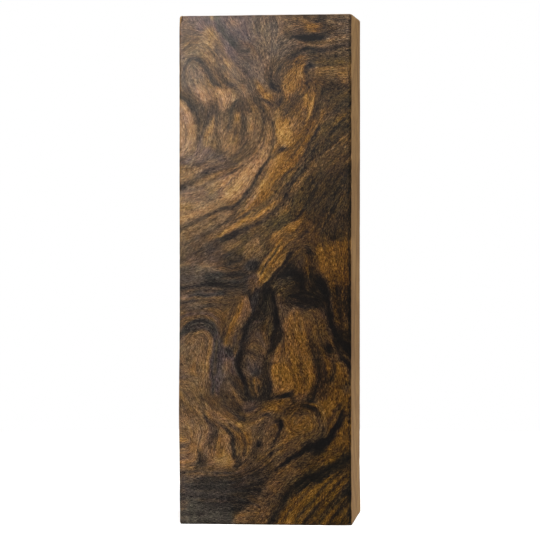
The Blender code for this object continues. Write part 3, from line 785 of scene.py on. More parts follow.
    vein(OLIVE, (0.25, 0.18, 0.15), 0.15, 1, (19.5, 59), (19.9, 60.2), (20.8, 61.6), (22, 63.2),
         (23.2, 64.9), (24.4, 66.6))
    vein(BROWN, 0.15, 0.15, 0.8, (20.9, 59.4), (21.8, 60.8), (23, 62.2))
    vein(BROWN, 0.15, 0.2, 0.7, (22.6, 62), (23.8, 63.6), (25, 65.2), (26.4, 66.6))
    vein(SOOT, (0.4, 0.5, 0.3, 0.2), 0.25, 1, (20.5, 56.3), (21.8, 57.7), (23, 59), (24.4, 60.6),
         (25.6, 62.6), (26.6, 64.4), (27.8, 65.5))
    patch(BROWN, 1, 0.75, (25.6, 60.6), (27, 64), (29.4, 65.4), (32, 64), (33.6, 60.6), (33, 58.6),
          (30.4, 58), (28, 59.8))
    vein(SOOT, (0.3, 0.7, 0.7, 0.3), 0.7, 0.8, (22.8, 58.8), (24.2, 59.8), (26, 60.4), (28, 60),
         (29.6, 58.4))
    vein(INK, (0.15, 0.35, 0.15), 0.35, 0.8, (27.6, 65), (28.8, 65.6), (30.2, 65.3), (31.2, 64.2))
    vein(TAN, 0.15, 0.25, 0.6, (22.4, 56.4), (23.6, 57.4), (25.6, 57.8), (27.6, 57.4))
    spot(TAN, 0.8, 0.5, (24.8, 56), 1.7, 1)
    spot(MAUVE, 0.5, 0.6, (28.6, 62.8), 0.6, 1.5)
    patch(UMBER, 0.7, 0.5, (31, 58), (33, 59.4), (35, 58), (36, 55), (34.6, 52.4), (31.6, 54))
    spot(INK, 0.5, 0.6, (33, 54.8), 1.5, 0.6)
    # A slate-grey streak inside the dark patch: painted sheen
    vein(SLATE, 0.2, 0.2, 1, (32.9, 57.5), (33.5, 56.7), (34, 55.6))
    vein(RUST, 0.25, 0.35, 0.6, (35.2, 65.2), (36, 63.4), (36, 61.6), (37, 59.6))
    vein(RUST, 0.2, 0.3, 0.5, (33.4, 64.4), (34, 62.4), (34.6, 60.8))
    vein(PALE, 0.25, 0.35, 0.6, (36.8, 66), (37.6, 64.6), (37.4, 62.8))
    for shift, colour in ((0.0, SOOT), (0.75, TAN), (1.3, CHAR), (1.9, TAUPE)):
        vein(colour, 0.18, 0.2, 0.7, (-0.5, 55.5 - shift), (2.2, 55.9 - shift), (4.6, 56.4 - shift),
             (7, 56.7 - shift), (9.4, 56.4 - shift))
    vein(CHAR, 0.2, 0.25, 0.8, (5.4, 58.2), (6.6, 58.9), (9, 59.2), (12, 59.4), (14.8, 59.6))
    vein(SLATE, 0.25, 0.4, 0.6, (10, 57.6), (12.6, 57.4), (15, 57.8))
    spot(PEACH, 0.3, 0.9, (1.2, 53.9), 1.1, 0.5)
    spot(INK, 0.25, 0.9, (0.9, 52.2), 1.1, 0.3)
    vein(UMBER, 0.18, 0.2, 0.7, (1, 50.9), (3.4, 51.6), (5.8, 52.2), (8, 52.6), (10, 52))
    vein(SLATE, 0.2, 0.2, 0.7, (-0.5, 50), (2, 51), (4.4, 51.6))
    vein(PALE, (0.2, 0.35, 0.3, 0.15), 0.2, 1, (15.4, 53.2), (16.5, 52.3), (16.9, 51), (16.4, 49.6),
         (15.4, 48), (14.4, 46.4))
    vein(BROWN, 0.25, 0.35, 0.7, (14.6, 52.4), (14.2, 50.6), (13.2, 48.6), (12.4, 46.6))


def paint_lower_middle(figure):
    """From z 50 down to z 23: a ribbed dark form between amber plates, and an eye on the left."""
    patch, vein, spot, grain = figure.patch, figure.vein, figure.spot, figure.grain
    patch(TAUPE, 0.6, 1, (22.4, 54.6), (26, 53.6), (30, 53.6), (33.6, 52.8), (36, 50), (36.6, 46),
          (35, 30), (31, 29.4), (24, 44), (23.6, 50))
    vein(UMBER, 0.7, 0.6, 0.7, (29, 52.6), (31.6, 52.6), (33.6, 51.6))
    patch(PEACH, 0.5, 1, (24.6, 47), (26.2, 50), (27.7, 51.4), (29, 50), (30.4, 48.8), (31.8, 49.4),
          (33.4, 48.4), (34.4, 46), (33.4, 43.4), (31.8, 41.6), (32.2, 38), (32.6, 35), (31.6, 32),
          (30, 29.8), (27.6, 29.4), (26.6, 31.6), (23.8, 31.2), (22, 31.6), (22, 34), (21, 36.6),
          (21.6, 39), (23.4, 42), (24.6, 44.4))
    patch(GOLD, 1.2, 0.55, (25, 44), (27, 48.6), (30, 46), (31.4, 40), (31.8, 35), (29.6, 31.4),
          (25, 32.6), (22.4, 34.4), (22, 37.6), (24, 41.4))
    vein(TAN, 0.3, 0.5, 0.7, (30.4, 43.4), (31, 40.8), (31.8, 38.4), (32.2, 36))
    vein(TAN, 0.3, 0.6, 0.5, (25, 38.6), (26.6, 37.4), (28.4, 36.4), (29.6, 35.4))
    vein(BROWN, 0.2, 0.5, 0.5, (24.6, 41.6), (24.8, 45), (25.2, 48))
    grain((27, 49), (27.6, 44), (28, 38), (29, 32))
    grain((33, 47), (33.4, 43), (34, 38), (34, 33))
    patch(WALNUT, 0.6, 1, (33.4, 44), (35.6, 44.6), (36.6, 42), (37, 38), (36.4, 34.6), (35, 31.6),
          (32.6, 31.2), (33, 35), (32.6, 39))
    vein(UMBER, (0.3, 0.5, 0.9), 0.6, 0.8, (33.2, 41), (33.6, 37.4), (33.4, 34), (32.6, 31.8))
    vein(TAN, 0.3, 0.5, 0.8, (34.4, 40.4), (35.2, 38.2), (35.6, 36))
    vein(SOOT, (0.3, 0.7, 0.5), 0.4, 1, (33.2, 33.4), (32.2, 31.8), (31.2, 30.4), (30.8, 29.6))
    vein(UMBER, 0.7, 0.6, 0.8, (33.8, 43.4), (35.2, 42.8), (36, 41))
    vein(SOOT, (0.15, 0.25, 0.5), 0.35, 1, (36.9, 37.6), (36.7, 35.6), (36.3, 34))
    patch(AMBER, 0.6, 1, (36, 57), (42, 57), (42, 45), (39, 45.6), (37.4, 47.4), (36.6, 50.6),
          (36.6, 54))
    patch(GOLD, 0.7, 0.7, (37.8, 51.4), (40, 52), (42, 50), (42, 46), (39.4, 46.4), (38, 48.4))
    spot(UMBER, 0.8, 0.7, (38.4, 55.2), 1.4, 0.8)
    patch(UMBER, 0.5, 1, (36.4, 48), (38.4, 46.2), (42, 45.4), (42, 38.6), (39, 40.6), (37, 43.6))
    patch(SOOT, 0.5, 1, (31, 55.4), (32.2, 57.5), (33.2, 58.6), (34.6, 57.4), (35.4, 55.6), (36, 54),
          (35.3, 52.6), (34, 53.3), (32.6, 53.8), (31.2, 54.6))
    vein(DUSK, 0.35, 0.4, 0.8, (33, 57.2), (33.8, 56), (34.4, 54.6))
    vein(INK, 0.45, 0.4, 0.8, (31.4, 54.6), (33, 54), (34.6, 53.8))
    vein(SOOT, (0.5, 0.35, 0.4, 0.6, 0.6, 0.4), 0.35, 1, (35.4, 55), (35.6, 52.6), (35.6, 50.4),
         (36.2, 48), (36.9, 46), (38, 44), (39.4, 42), (41, 39.6))
    vein(SLATE, 0.2, 0.3, 0.9, (36.1, 52), (36.2, 50.6), (36.5, 49.2))
    vein(SLATE, 0.2, 0.3, 0.5, (36.4, 42), (37.6, 40), (38.8, 38.4))
    patch(TAN, 0.5, 1, (36.8, 41.6), (38.2, 42.4), (39, 40.4), (41, 38.6), (42, 37), (42, 30), (38, 29),
          (35, 30.6), (36, 33.6), (37.4, 36.4))
    patch(GOLD, 0.7, 0.8, (37.2, 37.8), (38.8, 38), (40.6, 36), (39.4, 34), (37.6, 34.6))
    spot(OLIVE, 0.9, 0.6, (38.6, 33.4), 1.4, 1.2)
    vein(SOOT, 0.35, 0.3, 1, (38.6, 39.6), (39.6, 38.8), (40.4, 37.8), (41.4, 36.8))
    vein(BROWN, 0.3, 0.4, 0.8, (36.2, 44), (37.2, 41.8), (38.2, 40))
    patch(GOLD, 0.6, 1, (34.6, 33.4), (37, 33), (39.6, 30.6), (41, 29), (39.6, 27), (37.4, 24.4),
          (36, 22.6), (34.4, 21), (33, 24), (34.4, 27), (32.6, 29.6), (33, 31.6))
    spot(AMBER, 0.8, 0.5, (38.2, 27.4), 1, 1.2)
    patch(MAUVE, 0.5, 0.9, (8.6, 46), (10.4, 43.6), (12, 41.4), (13.6, 39), (14.6, 36), (16, 34),
          (15.4, 29), (12, 29), (8.4, 32))
    patch(TAN, 0.5, 1, (0, 45), (2.4, 45), (5, 45.6), (7, 45), (7.7, 42), (7.3, 38), (6.8, 34), (7, 31),
          (4, 30), (-1, 31), (-1, 44))
    patch(TAUPE, 0.8, 0.6, (-1, 46), (1.6, 46), (1, 40), (1.2, 34), (0.6, 30), (-1, 30))
    patch(SLATE, 0.4, 1, (-1, 44.4), (1.4, 46), (2.6, 47.8), (5.2, 48.6), (8, 47.8), (9.4, 45.4),
          (8, 44.6), (6, 45.9), (3, 45.4))
    for lift, reach in ((0.0, 3.4), (-1.15, 2.7), (-2.0, 2.2)):
        top = 48.4 + lift
        vein(SOOT, (0.1, 0.35, 0.25, 0.2), 0.25, 0.85, (5.4 - reach - 0.8, top - 2.6),
             (5.4 - reach * 0.8, top - 0.9), (5.4, top), (5.4 + reach * 0.8, top - 0.9),
             (5.4 + reach, top - 2.4))
    vein(MAUVE, 0.3, 0.4, 1, (1.6, 49.2), (3.6, 50), (6.2, 50.1), (8.4, 49.2), (9.8, 47), (10, 44.6))
    vein(PALE, (0.1, 0.35, 0.35, 0.35, 0.25), 0.4, 0.7, (3.2, 45), (5.4, 45.7), (6.9, 45.1),
         (7.5, 43.6), (7.5, 41.4), (7.1, 39), (6.8, 36.6), (6.7, 34))
    vein(SLATE, (0.35, 0.45, 0.4, 0.3), 0.35, 1, (8.3, 45.4), (8.3, 42.6), (8.1, 39.6), (7.9, 36.6),
         (8.1, 33.6), (8, 31))
    vein(DUSK, 0.25, 0.4, 0.7, (9.7, 44), (9.5, 41), (9.3, 38), (9.4, 35))
    vein(PALE, 0.15, 0.3, 0.5, (8.9, 42.6), (8.8, 39.8), (8.7, 37.2))
    spot(RUST, 0.4, 0.35, (4, 37.3), 0.6, 0.35)
    spot(RUST, 0.4, 0.35, (5.6, 41.3), 0.25, 1.3, turn=-10)
    spot(PEACH, 0.6, 0.5, (5.2, 35.8), 1.2, 0.4)
    spot(PEACH, 0.5, 0.5, (0.9, 36.2), 0.5, 0.8)
    spot(DUSK, 0.6, 1, (12, 40.8), 0.9, 1.1, turn=20)
    patch(PALE, 0.5, 0.8, (10.6, 38), (11.8, 38.8), (12.6, 38), (11.8, 36.6), (10.8, 35.8),
          (10.3, 36.6))
    vein(GOLD, 0.25, 0.35, 0.7, (11.6, 43.8), (12.8, 41.8), (13.4, 40.6))
    patch(UMBER, 0.6, 1, (12.4, 35.6), (15.2, 34.6), (17, 30), (21, 29), (19.6, 28.4), (16.4, 26.6),
          (15.4, 24.6), (12.4, 26.2), (10, 28.8), (10, 32.4), (11, 34.6))
    vein(TAN, 0.4, 0.45, 0.7, (11.2, 33.6), (12.4, 32.2), (13.6, 30.6), (14.8, 29))
    vein(TAN, 0.2, 0.35, 0.5, (12.6, 33.8), (13.8, 31.8), (15, 30.2))
    vein(SOOT, 0.2, 0.4, 0.5, (12.4, 35.2), (13.8, 33), (14.9, 31.2))
    vein(SOOT, (0.3, 0.6, 0.7, 0.7, 0.4), 0.5, 1, (10.2, 31.4), (10.8, 29.4), (11.9, 27.9),
         (13.4, 26.5), (14.9, 25.4), (16, 25.6))
    patch(BROWN, 0.5, 1, (16, 28.6), (18, 29.2), (20, 29), (19.4, 27.6), (17.6, 26.8), (16.4, 25.4),
          (15.4, 26.6))
    vein(PEACH, 0.2, 0.35, 0.8, (16.2, 26.2), (17.4, 26.9), (18.6, 27.8), (19.8, 28.8))
    patch(TAUPE, 0.6, 1, (16, 46.8), (18.6, 47.6), (21.6, 46.6), (23, 44.6), (22, 42.4), (20.6, 40),
          (19.9, 37), (18, 34.4), (16, 35), (15, 37), (15.8, 41), (16.2, 44))
    patch(UMBER, 0.6, 0.7, (18.2, 47.2), (21, 47), (22.8, 45), (21.4, 42.4), (20.6, 43), (20, 45.4))
    vein(TAN, 0.25, 0.3, 0.8, (19.4, 45.6), (20.2, 44.4), (20.7, 43))
    vein(SLATE, 0.2, 0.3, 0.9, (16.5, 45.4), (17, 46.4), (18, 47))
    vein(PEACH, (0.3, 0.45, 0.35), 0.4, 1, (16.1, 42.2), (17.2, 42.4), (18.6, 42), (19.6, 41.2),
         (20.2, 40.2))
    vein(UMBER, 0.25, 0.35, 0.6, (16.2, 43.2), (17.6, 43.6), (19.2, 43))
    vein(UMBER, 0.3, 0.4, 0.7, (16, 40.8), (17.4, 41), (18.8, 40.6), (19.8, 39.6))
    vein(TAN, 0.35, 0.5, 0.6, (16.2, 39.6), (17.8, 39.4), (19.2, 38.6))
    spot(DUSK, 0.8, 0.8, (18.4, 36), 1.4, 0.9, turn=20)
    spot(INK, 0.3, 1, (15.8, 37.3), 0.4, 0.4)
    vein(PEACH, 0.2, 0.35, 0.6, (15.3, 36.2), (16.2, 35.8), (17, 35.4))
    vein(DUSK, (0.8, 0.8, 0.7, 0.8, 0.75, 0.7, 0.6, 0.55, 0.5, 0.5), 0.4, 1, (18.1, 55.8), (18.2, 53.4),
         (17.6, 51), (16.7, 49), (16, 47.4), (15.6, 45.6), (15.4, 44), (14.9, 42), (14.4, 40.2),
         (13.8, 38.6), (13.7, 37.2), (14.4, 35.8), (15.2, 34.4), (15.8, 32.8), (16.4, 31), (17.2, 29.8))
    vein(INK, (0.4, 0.6, 0.6, 0.5, 0.4, 0.35), 0.4, 0.9, (16.5, 48.4), (15.8, 46.4), (15.3, 44),
         (14.9, 42), (14.3, 39.8), (13.7, 38), (14, 36.4), (15, 34.8), (15.6, 33.4))
    patch(SOOT, 0.4, 1, (15.6, 33.8), (17.4, 33), (18, 31), (19.6, 30.6), (20, 34), (19.8, 36.4),
          (21, 34.8), (21.8, 33), (21.4, 31), (22, 30.2), (20.4, 28.8), (17, 29.2), (15.4, 31))
    vein(INK, (0.5, 0.3, 0.4, 0.35, 0.55, 0.7, 0.6, 0.55, 0.5, 0.55, 0.6, 0.5), 0.35, 1, (21.9, 55.6),
         (22.3, 53.4), (23, 51), (23.5, 48.4), (23.9, 46), (23.6, 44.4), (22.9, 43), (21.9, 41.4),
         (21, 39.8), (20.4, 38), (20.2, 36.4), (20.8, 34.8), (21.5, 33.2), (21.3, 31.6), (20.4, 30.2))
    spot(UMBER, 0.5, 1, (18.8, 33.2), 1, 1.4)
    vein(PEACH, 0.18, 0.2, 1, (18, 32.4), (18.1, 33.6), (18.7, 34.3), (19.4, 33.9), (19.5, 33))
    vein(PALE, (0.2, 0.35, 0.15), 0.25, 1, (18.1, 32.9), (18.3, 31.8), (18.7, 30.7))
    spot(INK, 0.2, 1, (18.75, 33.5), 0.42, 0.42)
    patch(BROWN, 0.5, 0.7, (4.6, 30.4), (7.4, 30.6), (10, 30), (10.4, 28), (8.6, 27.4), (6.6, 28.6),
          (5, 28.4))
    vein(SOOT, (0.4, 0.3, 0.2), 0.3, 0.85, (5.3, 30.2), (6, 29.4), (7.2, 28.2), (8, 27), (8.6, 26))
    patch(UMBER, 0.35, 1, (20, 30.2), (23, 30), (25.2, 30), (27, 29.8), (27.4, 31.8), (26.2, 31.4),
          (25, 31), (23.6, 30.6))
    vein(SOOT, (0.3, 0.25, 0.5, 0.45), 0.3, 1, (20.4, 29.8), (22.4, 29.9), (24.6, 30.3), (26.2, 30.9),
         (27.2, 31.4))
    patch(AMBER, 0.5, 1, (20, 28.8), (22.6, 29.4), (26, 29.6), (27, 28), (26, 25.6), (22.6, 26),
          (20.4, 26.2))
    spot(GOLD, 0.8, 0.8, (22.6, 27.6), 1.2, 1.2)
    vein(BROWN, 0.2, 0.3, 0.8, (27, 30), (27.1, 28.8), (27.6, 27.6))
    patch(SLATE, 0.4, 0.55, (0.8, 46), (2.6, 47.9), (5.2, 48.8), (8, 48), (9.3, 46), (8.2, 45.4),
          (6.4, 46.6), (4, 46.8), (2.2, 46))
    for drop, tone in ((0.3, CHAR), (0.85, TAUPE), (1.25, CHAR), (1.75, MAUVE)):
        vein(tone, 0.14, 0.18, 0.7, (1.4 + drop, 46.2 - drop / 3), (3, 47.8 - drop), (5.2, 48.5 - drop),
             (7.6, 47.7 - drop), (9 - drop / 2, 45.9 - drop / 3))
    vein(MAUVE, 0.22, 0.25, 0.8, (-0.5, 48), (1.4, 49.2), (4, 49.9), (7, 49.7), (9.6, 48.2), (10.2, 46))
    vein(PALE, (0.15, 0.3, 0.2), 0.25, 0.8, (4.4, 45.9), (6, 45.9), (7.2, 45.3), (7.9, 44), (8, 42.4),
         (7.6, 40.6))
    vein(MAUVE, (0.3, 0.2, 0.1), 0.3, 0.7, (-0.5, 34.9), (1.2, 34.7), (2.6, 34.9), (4.6, 34.5))
    vein(BROWN, 0.14, 0.25, 0.7, (6.7, 42), (6.4, 41.2), (6.1, 40.2))
    vein(BROWN, 0.12, 0.2, 0.6, (3.1, 37), (3.7, 37.6), (4.3, 37.2), (4.2, 36.6))
    vein(PEACH, 0.3, 0.35, 0.7, (0.4, 36.4), (1, 36), (1.4, 35.6))
    vein(MAUVE, 0.25, 0.25, 0.8, (8.6, 45), (8.2, 42), (7.8, 39), (7.6, 36), (7.8, 33), (7.5, 31))
    vein(OLIVE, 0.22, 0.25, 0.8, (9, 43.4), (8.9, 40.6), (8.7, 38), (8.7, 35.6))
    vein(MAUVE, 0.22, 0.25, 0.8, (9.8, 42), (9.7, 39.6), (9.6, 37), (9.7, 35))
    patch(BROWN, 0.5, 0.7, (9.6, 49.4), (11.4, 49), (11, 46.4), (10, 43.4), (9.4, 44.6))
    for shift, tone in ((0.0, GOLD), (0.8, AMBER), (1.5, PALE), (2.1, BROWN)):
        vein(tone, 0.22, 0.25, 0.8, (10 + shift, 42.4), (11 + shift, 44.4), (12.2 + shift, 46.6),
             (13.4 + shift, 48.8))
    patch(OLIVE, 0.4, 0.8, (12.4, 42.8), (13.8, 43.4), (14, 41.6), (12.8, 41))
    spot(INK, 0.35, 0.8, (11.5, 41.3), 0.5, 0.5)
    patch(PEACH, 0.35, 1, (10.8, 38), (11.6, 38.9), (12.6, 38.2), (12.2, 36.8), (11.2, 35.9),
          (10.6, 36.6))
    patch(TAUPE, 0.6, 0.6, (10, 35), (12, 35.6), (13.4, 34.6), (13, 32.4), (11.4, 31.2), (9.8, 32.6))
    for shift in (0.0, 0.9, 1.8):
        vein(TAN, 0.16, 0.25, 0.5, (10.6 + shift, 33.6 - shift / 3), (11.8 + shift, 31.8 - shift / 3),
             (13 + shift, 30.2 - shift / 3), (14.2 + shift, 29 - shift / 3))
    vein(SLATE, 0.2, 0.3, 0.7, (14.3, 41), (13.4, 39.4), (13.1, 38), (13.7, 36.4), (14.6, 35.2))
    vein(SLATE, 0.15, 0.2, 0.7, (16.9, 48), (16.3, 46.4), (16.1, 44.4), (15.8, 42.4))
    patch(OLIVE, 0.6, 0.7, (17, 47), (21.8, 48.6), (22.4, 45.4), (21, 43), (20.4, 45.4), (18.4, 46.4))
    spot(UMBER, 0.5, 0.8, (19.5, 46.7), 1.2, 0.8, turn=-15)
    vein(MAUVE, 0.2, 0.2, 0.8, (16.5, 45.4), (17, 46.8), (18.2, 47.8), (19.8, 48.2))
    vein(TAN, 0.25, 0.3, 0.8, (19.8, 45.2), (20.7, 44.2), (20.9, 42.8))
    vein(PALE, (0.2, 0.3, 0.2), 0.25, 0.8, (16.8, 41.9), (18, 42.2), (19.4, 41.8), (20.4, 40.9))
    vein(UMBER, 0.15, 0.2, 0.8, (16.6, 43), (18, 43.4), (19.4, 42.7))
    vein(TAN, 0.25, 0.3, 0.8, (16.6, 43.8), (17.8, 44.2), (18.8, 44))
    vein(CHAR, 0.2, 0.25, 0.6, (16.4, 40.7), (17.8, 40.5), (19.4, 39.6))
    patch(MAUVE, 0.5, 0.6, (16, 37.4), (18.4, 38.2), (19, 37), (17, 35.8))
    patch(CHAR, 0.5, 0.6, (16, 34), (17.6, 34.8), (20.4, 34.4), (20.6, 31.4), (19.4, 30), (16.8, 30.4))
    vein(BROWN, 0.35, 0.35, 0.8, (16.4, 33.4), (16.8, 32), (17.5, 30.6))
    vein(PEACH, (0.25, 0.35, 0.15), 0.2, 1, (18.05, 33.2), (18.1, 32.2), (18.4, 31.2), (18.8, 30.5))
    vein(TAN, 0.12, 0.15, 1, (18.1, 33.4), (18.3, 34.1), (18.9, 34.3), (19.4, 33.9), (19.3, 33.1))
    spot(INK, 0.18, 1, (18.75, 33.5), 0.35, 0.38)
    vein(SLATE, 0.15, 0.2, 0.8, (20.8, 35.4), (21.6, 33.8), (21.7, 32.2), (21.2, 31))
    patch(MAUVE, 0.5, 0.55, (15.6, 29), (18, 29.4), (19.6, 28.6), (18, 27.2), (16.2, 26.4), (15, 27.4))
    vein(PEACH, 0.15, 0.2, 1, (15.6, 26.3), (16.9, 26.2), (18, 27.3), (19.4, 28.7))
    vein(BROWN, 0.14, 0.2, 0.8, (24.7, 49), (24.6, 46), (24.8, 43), (25, 40.4))
    vein(PALE, (0.2, 0.45, 0.2), 0.5, 0.6, (26.4, 49.4), (26.2, 46.6), (26.6, 44), (27.4, 42))
    vein(PALE, (0.2, 0.4, 0.2), 0.5, 0.5, (28.8, 48.6), (29.2, 46), (29.4, 43.4))
    vein(RUST, 0.18, 0.3, 0.7, (30, 47), (30.5, 44.6), (31, 42.4), (31.6, 40.4))
    patch(GOLD, 1, 0.6, (22, 36), (24, 39.4), (27.4, 37.4), (30.8, 36), (31.4, 33.6), (29, 30.6),
          (24, 32))
    vein(PALE, 0.2, 0.35, 0.5, (21.4, 37), (22.4, 39.6), (23.4, 41.8))
    patch(CHAR, 0.5, 0.5, (30.8, 45.4), (33.8, 45.6), (34.6, 43), (34, 39), (33.8, 35), (32.4, 31.8),
          (31, 30), (32.4, 33.4), (32.4, 37), (31.4, 41))
    spot(INK, 0.5, 0.7, (35.4, 42), 0.9, 0.9, turn=30)
    vein(AMBER, (0.3, 0.55, 0.25), 0.35, 0.8, (34.2, 41), (34.8, 39.6), (35.4, 38), (35.7, 36))
    vein(INK, (0.2, 0.5, 0.35), 0.35, 0.8, (31.8, 33.2), (31.6, 31.8), (31, 30.4))
    vein(INK, (0.4, 0.35, 0.5, 0.4), 0.3, 1, (36, 49.4), (36.4, 46.6), (37.4, 44.6), (39, 42.9),
         (41.2, 41.2))
    vein(PEACH, 0.18, 0.25, 0.8, (36, 44.6), (36.8, 42.8), (37.8, 41), (38.8, 39.4))
    vein(UMBER, 0.3, 0.3, 0.8, (36.6, 43.4), (37.7, 41.8), (39, 40.6), (40.8, 39.8))
    vein(INK, (0.2, 0.45, 0.35), 0.25, 1, (38.2, 39), (39.2, 38.9), (40, 38.2), (41, 37.2))
    patch(OLIVE, 0.6, 0.7, (36.8, 35), (38.4, 35.2), (40.2, 33.8), (39, 32.4), (37.2, 33))
    vein(PALE, (0.15, 0.3, 0.25), 0.2, 1, (31, 28.9), (32.2, 28.8), (33.4, 28.1), (34.3, 26.8),
         (34.8, 25), (34.6, 23.4))
    vein(CHAR, (0.15, 0.35, 0.2), 0.25, 1, (26.6, 26.2), (27.4, 27.6), (28.8, 28.6), (30.2, 28.8),
         (31.4, 28), (32.6, 26.9))
    patch(GOLD, 0.5, 0.6, (28.4, 26.6), (30.6, 27.4), (32.6, 26), (33.4, 23.4), (31, 22.4),
          (28.4, 23.4))


def paint_foot(figure):
    """From z 29 to the bottom end: swirls on the left, two dark bands, and a slate-grey corner."""
    patch, vein, spot, grain = figure.patch, figure.vein, figure.spot, figure.grain
    patch(TAN, 0.8, 1, (-1, 31), (4, 30), (6.4, 27), (8, 24), (14, 22), (20, 26.4), (25, 26), (30, 23),
          (35.6, 21.6), (34, 19.8), (30, 18), (25, 14.6), (21, 12.6), (14, 12.4), (5, 11), (-1, 10.6))
    patch(PEACH, 1, 0.75, (-1, 26), (4, 25.6), (6.4, 23), (7.6, 20.6), (6, 19), (4.6, 17.6), (2, 13),
          (-1, 12.6))
    patch(TAN, 0.8, 0.6, (-1, 30), (3, 29.8), (4, 27), (2, 26), (-1, 26))
    patch(PEACH, 0.8, 0.9, (9, 21), (12, 21), (12.2, 17), (13, 14), (9, 13), (6.4, 13.6), (7.4, 17.4))
    patch(PALE, 0.7, 0.9, (8, 16.2), (10, 16.9), (12.2, 16.4), (12.8, 15), (11.6, 13.8), (9.4, 14.2))
    patch(UMBER, 0.5, 0.85, (27, 28.4), (28.6, 29), (30.4, 28.9), (32.8, 28.2), (34, 26.6),
          (33.6, 25.4), (31.6, 26.6), (29.6, 26.4), (27.6, 25.4), (26.4, 26.4))
    patch(TAN, 0.6, 1, (26, 25.6), (28, 26), (30, 26.7), (32, 26.6), (33.4, 25.6), (34.4, 22), (30, 20),
          (26, 21))
    vein(SOOT, (0.15, 0.25, 0.3, 0.15), 0.3, 1, (27.2, 27.6), (28.2, 28.6), (29.5, 29), (30.8, 28.6))
    vein(PALE, (0.15, 0.3, 0.35, 0.3, 0.2), 0.25, 1, (30.8, 28.8), (32, 28.6), (33.2, 28), (34.1, 26.9),
         (34.5, 25.4), (34.7, 23.8), (34.8, 22.6))
    vein(BROWN, 0.15, 0.3, 0.6, (33.4, 26.8), (33.9, 25.4), (34, 23.8))
    vein(PALE, (0.15, 0.3, 0.5, 0.45, 0.3, 0.2), 0.35, 0.85, (6, 29), (6.9, 27.9), (8, 26.9),
         (9.4, 26.2), (10.8, 25.1), (12.4, 24.2), (14.2, 23.5), (16.4, 23.7), (18.6, 24.4), (20.4, 25.6))
    spot(PALE, 0.5, 0.8, (7.3, 26.2), 0.6, 0.9, turn=30)
    spot(SOOT, 0.3, 0.9, (8.4, 26), 0.45, 0.6)
    vein(CHAR, 0.2, 0.4, 0.7, (5.6, 28.2), (6.2, 26.6), (6.8, 25.2), (7.6, 24))
    vein(SOOT, (0.2, 0.3, 0.45, 0.25, 0.4, 0.35), 0.3, 1, (6.3, 25.4), (7.3, 24), (8.4, 23.2),
         (8.9, 22.4), (8.7, 21.4), (8.1, 20.4), (7.2, 19.4), (6.7, 18.8))
    vein(UMBER, 0.25, 0.25, 0.9, (6.8, 18.9), (7.6, 18.1), (8.6, 17.9), (9.1, 18.5))
    spot(MAUVE, 0.3, 1, (8.1, 19.2), 0.5, 0.5)
    vein(SOOT, (0.2, 0.25, 0.3, 0.4, 0.3), 0.25, 1, (7.8, 25.2), (9.2, 24.1), (10.8, 22.9),
         (12.2, 21.7), (13, 20.6), (13.3, 19.6))
    vein(SOOT, (0.4, 0.55, 0.5, 0.5, 0.75, 0.5), 0.35, 1, (12.9, 20.6), (12.7, 19), (12.8, 17.6),
         (13.1, 16.4), (13.9, 15.7), (14.1, 14.6), (13.6, 13.8))
    vein(PALE, 0.25, 0.3, 0.8, (10.8, 24), (12.2, 22.9), (13.6, 21.6), (14.5, 20.4))
    patch(TAN, 0.4, 1, (13.6, 19.8), (15, 19.6), (15.2, 17.6), (14.4, 16.4), (13.6, 17.6))
    vein(CHAR, (0.2, 0.3, 0.4, 0.4, 0.2), 0.3, 1, (11, 24.9), (12.4, 23.8), (14, 22.4), (15.2, 20.9),
         (15.8, 19.4), (15.7, 17.8), (15.3, 16.4))
    vein(GOLD, 0.35, 0.4, 0.7, (16.4, 21.6), (16.8, 19), (16.7, 16.6), (16, 14.8), (15, 13.6))
    spot(INK, 0.35, 1, (18.9, 19), 0.8, 0.8)
    vein(UMBER, (0.5, 0.35, 0.25), 0.35, 1, (18.4, 18.2), (18.1, 16.8), (17.5, 15.2), (16.4, 13.8))
    vein(TAN, 0.2, 0.3, 0.6, (17.4, 18.4), (17.2, 16.8), (16.9, 15.6))
    vein(UMBER, 0.35, 0.5, 0.7, (20, 24.4), (19.7, 23), (19, 21.6))
    vein(SOOT, 0.3, 0.3, 0.8, (20.4, 25.9), (21.4, 25.8))
    vein(INK, (0.35, 0.4, 0.45, 0.45, 0.2, 0.15), 0.3, 1, (22.9, 24.4), (23.9, 24.3), (24.1, 23.2),
         (23.8, 22), (23.3, 20.8), (22.8, 19.6), (22.2, 18.4))
    vein(CHAR, 0.18, 0.3, 0.8, (20.2, 17.4), (21.2, 18), (22.2, 18))
    spot(SOOT, 0.35, 1, (22, 16.8), 0.5, 0.7)
    vein(PALE, 0.25, 0.3, 0.85, (22.6, 16.6), (23.8, 17.4), (25.4, 17.8), (27.4, 17.9), (29, 18.6))
    patch(GOLD, 1, 0.45, (24.4, 24), (29, 25.8), (32, 25.4), (34, 22), (31, 20.4), (27, 19),
          (24.4, 19.4))
    vein(BROWN, 0.2, 0.5, 0.4, (25, 24.4), (26.4, 22.6), (28.6, 20.4))
    vein(PALE, 0.3, 0.5, 0.5, (31.4, 25.4), (32.6, 23.8), (33.4, 22))
    spot(OLIVE, 0.6, 0.4, (33.6, 22.4), 0.5, 0.9)
    patch(AMBER, 0.6, 1, (38.6, 26), (42, 30), (42, 18.4), (38, 15.6), (34, 14), (30, 12), (26, 10),
          (23, 12.6), (27, 15.6), (31, 18.4), (35.6, 19.4), (37.4, 22.6))
    patch(TAN, 0.6, 0.7, (24, 13), (28, 16.2), (31, 17.6), (30, 14), (28, 12), (25, 11.4))
    spot(GOLD, 0.4, 0.8, (29, 15.4), 0.9, 0.4, turn=35)
    spot(PEACH, 0.5, 0.7, (33.4, 15), 0.5, 1.1)
    spot(RUST, 0.7, 0.5, (35, 17), 0.9, 1.4)
    spot(OLIVE, 0.6, 0.5, (28.6, 14.2), 1.4, 0.6)
